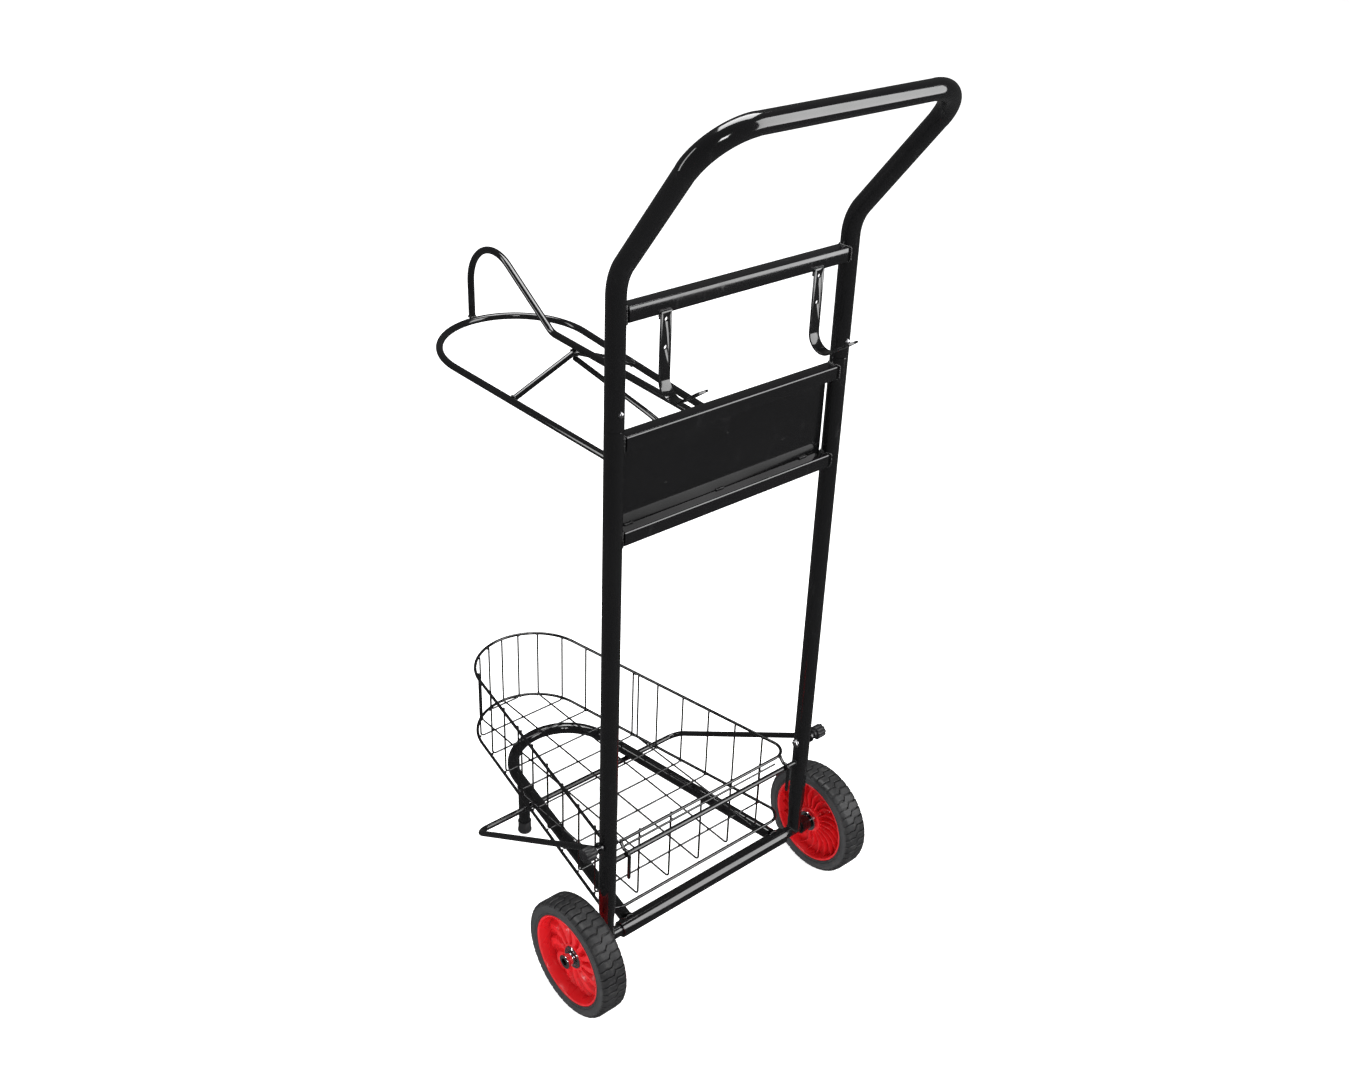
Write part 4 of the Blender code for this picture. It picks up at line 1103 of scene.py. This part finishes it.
def pivot_bolt(side, s):
    node = "pivot_bolt_" + side
    low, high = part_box(node)
    head = low.x if s > 0 else high.x
    z, r, long = middle(node, 2), (high.z - low.z) / 2, high.x - low.x
    hexagon = turned([(0, 0.0), (r * 0.92, 0.0), (r * 1.06, 0.0007), (r * 1.06, 0.0033), (0, 0.0033)], 6)
    washer = turned([(0, 0.0030), (r * 1.25, 0.0030), (r * 1.25, 0.0041), (0, 0.0041)], 48)
    thread_r = 0.003
    shank = turned([(0, 0.0035), (thread_r, 0.0035), (thread_r, long - 0.0006), (thread_r * 0.8, long),
                    (0, long)], 32)
    mesh = joined([hexagon, washer, shank], ZINC)
    mesh = softened(placed(mesh, s, (head, 0, z)), 0.0002)
    piece("pivot_bolt_%s_steel" % side, mesh, ZINC, frame["nodes"][node]["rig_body"], [node])


for side, s in SIDES:
    foot_cap(side)
    snap_button(side)
    pivot_bolt(side, s)
print("small parts made")

# %% [markdown]
# ## Knobs and the swinging brace
#
# The knobs are fluted grips with a plain collar. The brace is one rod bent to a U whose ends are hammered
# flat and drilled, so the round part swells into the flats. The flats are turned discs joined to the rod.

# %% Knobs and brace
FLUTES, FLUTE_DEPTH = 9, 0.13


def knob(side, s):
    node = "knob_" + side
    low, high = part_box(node)
    long, r = high.x - low.x, (high.z - low.z) / 2
    root = low.x if s > 0 else high.x
    collar = 0.0040
    profile = [(0, 0.0), (0.0066, 0.0), (0.0070, 0.0004), (0.0070, collar), (r * 0.90, collar + 0.0003),
               (r * 0.985, collar + 0.0011), (r, collar + 0.0024), (r, long - 0.0030),
               (r * 0.97, long - 0.0014), (r * 0.88, long - 0.0004), (r * 0.74, long),
               (r * 0.60, long - 0.0003), (r * 0.52, long - 0.0012), (0, long - 0.0012)]
    mesh = turned(profile, 108)
    for point in mesh.vertices:
        reach = hypot(point.co.y, point.co.z)
        if reach > 0.0072:
            flute = 0.5 + 0.5 * cos(FLUTES * atan2(point.co.z, point.co.y))
            factor = 1 - FLUTE_DEPTH * (1 - flute) ** 2.2
            point.co.y *= factor
            point.co.z *= factor
    mesh = placed(mesh, s, (root, 0, middle(node, 2)))
    piece("knob_%s_grip" % side, mesh, KNOB, "knob_" + side, [node], smooth=35)


BRACE_R, BRACE_X, BRACE_FRONT_Y, BRACE_FRONT_Z = 0.0045, 0.2078, -0.309, 0.0855
BRACE_BEND_R, EYE_R, EYE_BORE_R, EYE_THICK = 0.020, 0.009, 0.0034, 0.004
BRACE_PIVOT_Z = middle("knob_left", 2)


def brace():
    corner = Vector((BRACE_X, BRACE_FRONT_Y, BRACE_FRONT_Z))
    pivot = Vector((BRACE_X, 0, BRACE_PIVOT_Z))
    start = pivot + (corner - pivot).normalized() * 0.006
    mirrored = [(-corner.x, corner.y, corner.z), (-start.x, start.y, start.z)]
    path = bent([start, corner] + mirrored, (BRACE_BEND_R, BRACE_BEND_R), 14)
    bar = metal(path, BRACE_R, 28)
    inner = FRAME_HALF + TUBE_R + 0.0004
    soft, eyes = 0.0005, []
    for s in (1, -1):
        eye = turned([(EYE_BORE_R, 0.0), (EYE_R - soft, 0.0), (EYE_R, soft), (EYE_R, EYE_THICK - soft),
                      (EYE_R - soft, EYE_THICK), (EYE_BORE_R, EYE_THICK)], 48)
        eyes.append(placed(eye, s, (s * inner, 0, BRACE_PIVOT_Z)))
    black("brace_rod_bent", joined([bar] + eyes, PAINT), ["brace_rod"], "brace")


for side, s in SIDES:
    knob(side, s)
brace()
print("brace pivots at z = %.3f" % BRACE_PIVOT_Z)

# %% [markdown]
# ## The basket
#
# Two rings of 5 mm wire, one above the other, with 3 mm wires bent over them and spot-welded at every
# crossing. Each wire's width comes from the outline at its own y, so the mesh follows the tapered plan.
# All crosswise wires are one call to the tube tree and all lengthwise wires another.

# %% Basket
BASKET_R, MESH_R, RIM_Z, BASE_Z = 0.0025, 0.0015, 0.2455, 0.117
BASKET_HALF, BASKET_REAR_Y, BASKET_FRONT_R, BASKET_FRONT_Y = 0.178, -0.0130, 0.0965, -0.441
CORNER_R, MESH_BEND_R, HOOK_X, HOOK_WIRE_R = 0.024, 0.007, 0.157, 0.00275
INSET = BASKET_R + MESH_R
BASKET_TAPER = taper_of(BASKET_HALF, BASKET_REAR_Y, BASKET_FRONT_R, BASKET_FRONT_Y)
CROSS_WIRES = ["cross_wire_%d" % i for i in range(1, 11)]
CROSS_WIRE_Y = [middle(wire, 1) - SHIFT_Y for wire in CROSS_WIRES]
REAR_STAY_HALF = 0.148
LONG_WIRES = ["long_wire_" + end for end in ("0", "1_left", "1_right", "2_left", "2_right")]
LONG_WIRE_X = [middle(wire, 0) for wire in LONG_WIRES]


def half_width(y, inset):
    r = BASKET_FRONT_R - inset
    if y < BASKET_FRONT_Y - r * sin(BASKET_TAPER):
        return sqrt(r ** 2 - (y - BASKET_FRONT_Y) ** 2)
    return r / cos(BASKET_TAPER) + (y - BASKET_FRONT_Y) * tan(BASKET_TAPER)


def front_reach(x, inset):
    r = BASKET_FRONT_R - inset
    if abs(x) < r * cos(BASKET_TAPER):
        return BASKET_FRONT_Y - sqrt(r ** 2 - x ** 2)
    return BASKET_FRONT_Y + (abs(x) - r / cos(BASKET_TAPER)) / tan(BASKET_TAPER)


def basket_ring(name, node, z):
    arc = front_arc(BASKET_FRONT_R, BASKET_FRONT_Y, BASKET_TAPER)
    corners = [(-BASKET_HALF, BASKET_REAR_Y, z), (BASKET_HALF, BASKET_REAR_Y, z)]
    rear = bent([(*arc[-1], z)] + corners + [(*arc[0], z)], (CORNER_R, CORNER_R), 12)
    path = [Vector((x, y, z)) for x, y in arc[1:-1]] + rear
    black(name, metal(path, BASKET_R, 20, closed=True), [node], "basket")


def basket():
    basket_ring("basket_top_ring", "basket_rim", RIM_Z)
    basket_ring("basket_floor_ring", "basket_base_ring", BASE_Z)
    across = []
    for y in CROSS_WIRE_Y:
        x = half_width(y, INSET)
        corners = [(x, y, RIM_Z), (x, y, BASE_Z), (-x, y, BASE_Z), (-x, y, RIM_Z)]
        across.append(bent(corners, (MESH_BEND_R, MESH_BEND_R), 8))
    black("basket_cross_wires", metal(across, MESH_R, 16), CROSS_WIRES, "basket")
    along, floor, rear = [], BASE_Z + 2 * MESH_R, BASKET_REAR_Y - INSET
    for x in LONG_WIRE_X:
        front = front_reach(x, INSET)
        corners = [(x, rear, RIM_Z), (x, rear, floor), (x, front, floor), (x, front, RIM_Z)]
        along.append(bent(corners, (MESH_BEND_R, MESH_BEND_R), 8))
    black("basket_long_wires", metal(along, MESH_R, 16), LONG_WIRES, "basket")
    z = middle("basket_rear_wire", 2)
    rear_wire = [(-REAR_STAY_HALF, BASKET_REAR_Y, z), (REAR_STAY_HALF, BASKET_REAR_Y, z)]
    black("basket_rear_stay", metal(rear_wire, MESH_R, 16), ["basket_rear_wire"], "basket")


def basket_hook(side, s):
    """Over the cross rod and down behind it, with its cut end ground round."""
    node = "basket_hook_" + side
    reach = CROSS_ROD_R + 0.0007 + HOOK_WIRE_R
    rod_z = middle("cross_rod", 2)
    turns = [radians(120 - 8 * i) for i in range(16)]
    arc = [Vector((0, reach * cos(a), rod_z + reach * sin(a))) for a in turns]
    end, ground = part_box(node)[0].z, [radians(degree) for degree in (30, 55, 75, 86)]
    tail = [Vector((0, reach, end + HOOK_WIRE_R))] + [
        Vector((0, reach, end + HOOK_WIRE_R * (1 - sin(t)))) for t in ground]
    path = [Vector((0, BASKET_REAR_Y, RIM_Z))] + arc + tail
    swell = [1.0] * (len(arc) + 2) + [cos(t) for t in ground]
    mesh = moved(metal(path, HOOK_WIRE_R, 20, swell=swell), Matrix.Translation((s * HOOK_X, 0, 0)))
    black("basket_hook_%s_wire" % side, mesh, [node], "basket")


basket()
for side, s in SIDES:
    basket_hook(side, s)
print("basket wires: %d across, %d along" % (len(CROSS_WIRE_Y), len(LONG_WIRE_X)))

# %% [markdown]
# ## Welds
#
# Every joint on the real cart is a weld, and a weld is a row of overlapping puddles. A third tree walks along
# a line, puts a small flattened drop at each step and varies the drops a little from a fixed seed. Spot welds
# on the basket are single drops at given points. They are painted over with everything else.

# %% The weld trees
def drop_tree(name, along_a_line):
    tree, given, made = new_tree(name, (
        ("Radius", "NodeSocketFloat", 0.0016), ("Step", "NodeSocketFloat", 0.0013)))
    spots = given.out("Geometry")
    if along_a_line:
        line = tree.node("GeometryNodeMeshToCurve", {}, {0: spots})
        even = tree.node("GeometryNodeResampleCurve", {"mode": "LENGTH"}, {
            "Curve": line, "Length": given.out("Step")})
        spots = tree.node("GeometryNodeCurveToPoints", {"mode": "EVALUATED"}, {"Curve": even}).out("Points")
    else:
        spots = tree.node("GeometryNodeMeshToPoints", {}, {"Mesh": spots}).out("Points")
    drop = tree.node("GeometryNodeMeshUVSphere", {}, {
        "Segments": 8, "Rings": 6, "Radius": given.out("Radius")})
    size = tree.node("FunctionNodeRandomValue", {"data_type": "FLOAT"}, {2: 0.80, 3: 1.18, "Seed": 5}).out(1)
    copies = tree.node("GeometryNodeInstanceOnPoints", {}, {
        "Points": spots, "Instance": drop.out("Mesh"), "Scale": size})
    return end_tree(tree, copies, given, made)


SEAM_TREE, SPOT_TREE = drop_tree("drops_along_a_line", True), drop_tree("drops_at_points", False)


SEAM_STEP = 0.0012


def seams(name, paths, radius):
    mesh = run_tree(SEAM_TREE, line_mesh(paths), {"Radius": radius, "Step": SEAM_STEP, "Finish": PAINT})
    piece(name, mesh, PAINT, "frame", smooth=80)


def spots(name, points, radius, body):
    mesh = run_tree(SPOT_TREE, line_mesh([[p] for p in points]), {"Radius": radius, "Finish": PAINT})
    piece(name, mesh, PAINT, body, smooth=80)


def loop_round(centre, axis, radius, onto=None, steps=28):
    """Points of a circle about an axis; onto moves each point onto the surface that the part is welded to."""
    axis = Vector(axis).normalized()
    side = axis.orthogonal().normalized()
    other = axis.cross(side)
    turns = [2 * pi * k / steps for k in range(steps + 1)]
    points = [Vector(centre) + (side * cos(a) + other * sin(a)) * radius for a in turns]
    return [onto(p) for p in points] if onto else points


print("weld trees:", SEAM_TREE.name, SPOT_TREE.name)

# %% [markdown]
# ### Where the seams run
#
# A seam lies where two shapes meet, so each is worked out by taking the outline of one part and pushing it
# onto the surface of the other: onto the tube for rails, onto the sleeve for the toe loop.

# %% Frame seams
def onto_upright(s):
    """Moves a point in X onto the surface of an upright, on the side that faces the middle."""
    return lambda p: Vector((s * (FRAME_HALF - sqrt(max(0.0, TUBE_R ** 2 - p.y ** 2))), p.y, p.z))


def rail_seams():
    paths = []
    for name in ("upper_rail", "middle_rail", "lower_rail"):
        half, z = span(name, 1) / 2, middle(name, 2)
        ring = [Vector((0, y, z + dz)) for y, dz in rounded_box_section(2 * half, 2 * half, 0.0022, 2)]
        dense = []
        for a, b in zip(ring, ring[1:] + ring[:1]):
            pieces = max(1, int((b - a).length / 0.002))
            dense += [a.lerp(b, k / pieces) for k in range(pieces)]
        dense.append(dense[0].copy())
        paths += [[onto_upright(s)(p) for p in dense] for s in (1, -1)]
    seams("welds_rails", paths, 0.0017)


def rod_seams():
    z, paths = middle("cross_rod", 2), []
    for side, s in SIDES:
        paths.append(loop_round((0, 0, z), (1, 0, 0), CROSS_ROD_R + TOUCH, onto_upright(s)))
    for x, at in ((RACK_HALF, rack_height(0)), (-RACK_HALF, rack_height(0)), (0, spine_height(0))):
        paths.append(loop_round((x, PANEL_FRONT_Y, at), (0, 1, 0), RACK_R + TOUCH))
    paths.append(loop_round((0, PANEL_FRONT_Y, STRUT_FOOT_Z), (0, 1, 0), STRUT_R + 0.0003))
    side, peak = RACK_SIDE, RACK_PEAK
    for sx in (1, -1):
        foot = Vector((side.x * sx, side.y, side.z))
        lean = (Vector((0, peak.y, peak.z)) - foot).normalized()
        paths.append(loop_round(foot + lean * (RACK_R + 0.0002), lean, CROSS_R + 0.0002))
    landing = rack_height(RACK_FRONT_Y - RACK_FRONT_R) + RACK_R * 0.85
    paths.append(loop_round((0, HORN_FRONT_Y, landing), (0, 0, 1), RACK_R + 0.0002))
    for y in (-CROSS_R * 0.8, CROSS_R * 0.8):
        paths.append([(x, CROSS_Y + y, peak.z + CROSS_R * 0.55) for x in (-0.005, 0.0, 0.005)])
    paths.append(loop_round((0, CROSS_Y, peak.z - CROSS_R - 0.0006), (0, 0, 1), STRUT_R + 0.0002))
    seams("welds_rack_and_rod", paths, 0.0013)


def toe_seams():
    def onto_sleeve(p):
        reach = min(TUBE_R * 0.98, abs(p.z - AXLE_Z))
        return Vector((p.x, -sqrt(TUBE_R ** 2 - reach ** 2), p.z))

    def onto_axle(p):
        lift = (AXLE_R + 0.0005) ** 2 - min(p.y ** 2, AXLE_R ** 2)
        return Vector((p.x, p.y, AXLE_Z + sqrt(max(0.0, lift))))

    paths = []
    for side, s in SIDES:
        end = (s * LOOP_END_X, 0, loop_height(-TUBE_R))
        paths.append(loop_round(end, (0, 1, 0), LOOP_R + 0.0002, onto_sleeve))
        leg = "toe_leg_" + side
        top = (middle(leg, 0), LOOP_FRONT_Y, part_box(leg)[1].z + 0.0008)
        paths.append(loop_round(top, (0, 0, 1), LOOP_R + 0.0001))
        foot = (s * FRAME_HALF, 0, AXLE_Z)
        paths.append(loop_round(foot, (0, 0, 1), DRAWN_IN * TUBE_R, onto_axle))
    seams("welds_axle_and_toe_loop", paths, 0.0015)


rail_seams()
rod_seams()
toe_seams()
print("frame seams done")

# %% [markdown]
# ### Tacks on the panel and hooks, and spot welds on the basket
#
# The panel is only tacked along its edges, the hooks have a short bead over the top, and the rack's rods have
# burnt small marks through the sheet. The basket has one spot weld at each crossing.

# %% Tacks
def panel_tacks():
    rail_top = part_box("lower_rail")[1].z
    rail_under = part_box("middle_rail")[0].z
    paths = []
    for x in (0.160, 0.008, -0.143):
        paths.append([(x + dx, PANEL_REAR_Y + 0.0005, rail_top + 0.0007) for dx in (-0.006, 0, 0.006)])
    for x in (0.150, 0.0, -0.150):
        paths.append([(x + dx, PANEL_REAR_Y + 0.0005, rail_under - 0.0007) for dx in (-0.005, 0, 0.005)])
    for x, z in ((0.102, 0.806), (-0.102, 0.806), (0.0, 0.845)):
        paths.append([(x - 0.0015, PANEL_REAR_Y - 0.0002, z), (x + 0.0015, PANEL_REAR_Y - 0.0002, z)])
    w, y = HOOK_WIDE / 2 + 0.0004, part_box("upper_rail")[1].y - SHIFT_Y + 0.0004
    low, top = HOOK_TOP_Z - 0.008, HOOK_TOP_Z + 0.0006
    for x in (middle("hook_left", 0), middle("hook_right", 0)):
        corners = [(x - w, y, low), (x - w, y, top), (x + w, y, top), (x + w, y, low)]
        paths.append(bent(corners, (0.002, 0.002), 4))
    seams("welds_panel_and_hooks", paths, 0.0013)


def basket_spots():
    points = []
    for y in CROSS_WIRE_Y:
        x = half_width(y, BASKET_R + MESH_R * 0.4)
        points += [(sx * x, y, z) for sx in (1, -1) for z in (RIM_Z, BASE_Z)]
        points += [(lx, y, BASE_Z + MESH_R) for lx in LONG_WIRE_X if front_reach(lx, INSET) < y]
    for x in LONG_WIRE_X:
        points += [(x, BASKET_REAR_Y - MESH_R, z) for z in (RIM_Z, BASE_Z, middle("basket_rear_wire", 2))]
        points += [(x, front_reach(x, BASKET_R), z) for z in (RIM_Z, BASE_Z)]
    points += [(s * HOOK_X, BASKET_REAR_Y + 0.0022, RIM_Z + 0.0006) for s in (1, -1)]
    spots("basket_spot_welds", points, 0.0020, "basket")
    return len(points)


panel_tacks()
print("spot welds on the basket:", basket_spots())

# %% [markdown]
# ## What still shows of the CAD
#
# The sleeves that join handle and uprights are inside the tubes, so their plain solids are kept as they are
# and are only given the zinc finish, which can be seen as a bright line in the joint.

# %% Remaining CAD nodes
for name, node in frame["nodes"].items():
    if not node.hide_render:
        node.data.materials.clear()
        node.data.materials.append(ZINC if "sleeve" in name else PAINT)
        print("CAD solid kept:", name)

# %% [markdown]
# ## Floor, light and camera
#
# The cart stands on a plain pale floor in an even studio. Black gloss paint shows almost nothing of its own,
# only what it reflects, so the light is a few large soft panels: one to the right gives the broad grey
# streak down the right side of each tube, a smaller one to the left a thin rim, and one above the crowns of
# the rods. The background is white to the camera and dim to reflections, or else the paint would look grey.

# %% Floor and world
def floor():
    corners = [(x, y, -0.0006) for x, y in ((-9, -9), (9, -9), (9, 9), (-9, 9))]
    mesh = mesh_of("floor", corners, [(0, 1, 2, 3)])
    pale = Finish("pale_floor", {"Roughness": 0.9, "Specular IOR Level": 0.1, "Emission Strength": 0.85})
    cloud = pale.noise(1.5, 3.0, 0.5)
    tone = pale.blend(cloud, (0.90, 0.90, 0.90), (0.94, 0.94, 0.94))
    mesh.materials.append(pale.finish(Base_Color=tone, Emission_Color=tone))
    obj = bpy.data.objects.new("floor", mesh)
    bpy.context.scene.collection.objects.link(obj)
    obj.visible_glossy = False


def world():
    raw = bpy.data.worlds.new("studio")
    bpy.context.scene.world = raw
    raw.use_nodes = True
    raw.node_tree.nodes.clear()
    tree = Tree(raw.node_tree)
    seen = tree.node("ShaderNodeLightPath").out("Is Camera Ray")
    strength = seen * 0.55 + 0.45
    light = tree.node("ShaderNodeBackground", {}, {"Color": (1, 1, 1, 1), "Strength": strength})
    tree.node("ShaderNodeOutputWorld", {}, {"Surface": light})
    glossy = tree.node("ShaderNodeLightPath").out("Is Glossy Ray")
    tree.raw.links.new((strength * (1 - glossy * 0.86)).socket, light.raw.inputs["Strength"])


floor()
world()
print("floor and world ready")

# %% Camera
CAMERA_AT = Vector((1.1705, 1.2186 + SHIFT_Y, 1.6614))
AZIMUTH, PITCH, ROLL, LENS = radians(138.37), radians(29.98), radians(2.24), 39.27


def camera():
    back = Vector((sin(AZIMUTH) * cos(PITCH), -cos(AZIMUTH) * cos(PITCH), sin(PITCH)))
    level = Vector((cos(AZIMUTH), sin(AZIMUTH), 0))
    upright_way = back.cross(level)
    right = level * cos(ROLL) + upright_way * sin(ROLL)
    up = back.cross(right)
    data = bpy.data.cameras.new("camera")
    data.lens, data.sensor_width = LENS, 36.0
    data.dof.use_dof = False
    obj = bpy.data.objects.new("camera", data)
    obj.matrix_world = Matrix(((right.x, up.x, back.x, CAMERA_AT.x), (right.y, up.y, back.y, CAMERA_AT.y),
                               (right.z, up.z, back.z, CAMERA_AT.z), (0, 0, 0, 1)))
    bpy.context.scene.collection.objects.link(obj)
    bpy.context.scene.camera = obj
    return back, level


BACK, LEVEL = camera()
print("camera %.2f m from the origin" % CAMERA_AT.length)

# %% Lights
def panel(name, right, back, high, wide, tall, watts, aim=(0, 0, 0.6)):
    """A soft panel: how far it is to the right of, in front of and above the cart as the camera sees it."""
    flat_back = Vector((BACK.x, BACK.y, 0)).normalized()
    place = Vector((0, 0, high)) + LEVEL * right + flat_back * back
    data = bpy.data.lights.new(name, "AREA")
    data.shape, data.size, data.size_y, data.energy = "RECTANGLE", wide, tall, watts
    obj = bpy.data.objects.new(name, data)
    facing = (place - Vector(aim)).to_track_quat("Z", "Y").to_matrix().to_4x4()
    obj.matrix_world = Matrix.Translation(place) @ facing
    bpy.context.scene.collection.objects.link(obj)
    obj.visible_camera = False
    return obj


panel("key_right", 2.3, 0.5, 1.5, 1.1, 2.4, 46)
panel("rim_left", -2.6, 0.3, 1.5, 0.4, 2.2, 14)
panel("top", 0.0, -0.4, 3.0, 1.8, 1.4, 75)
panel("front", 0.6, 3.2, 2.2, 0.8, 0.6, 26)
scene = bpy.context.scene
scene.view_settings.view_transform = "Standard"
scene.view_settings.look = "None"
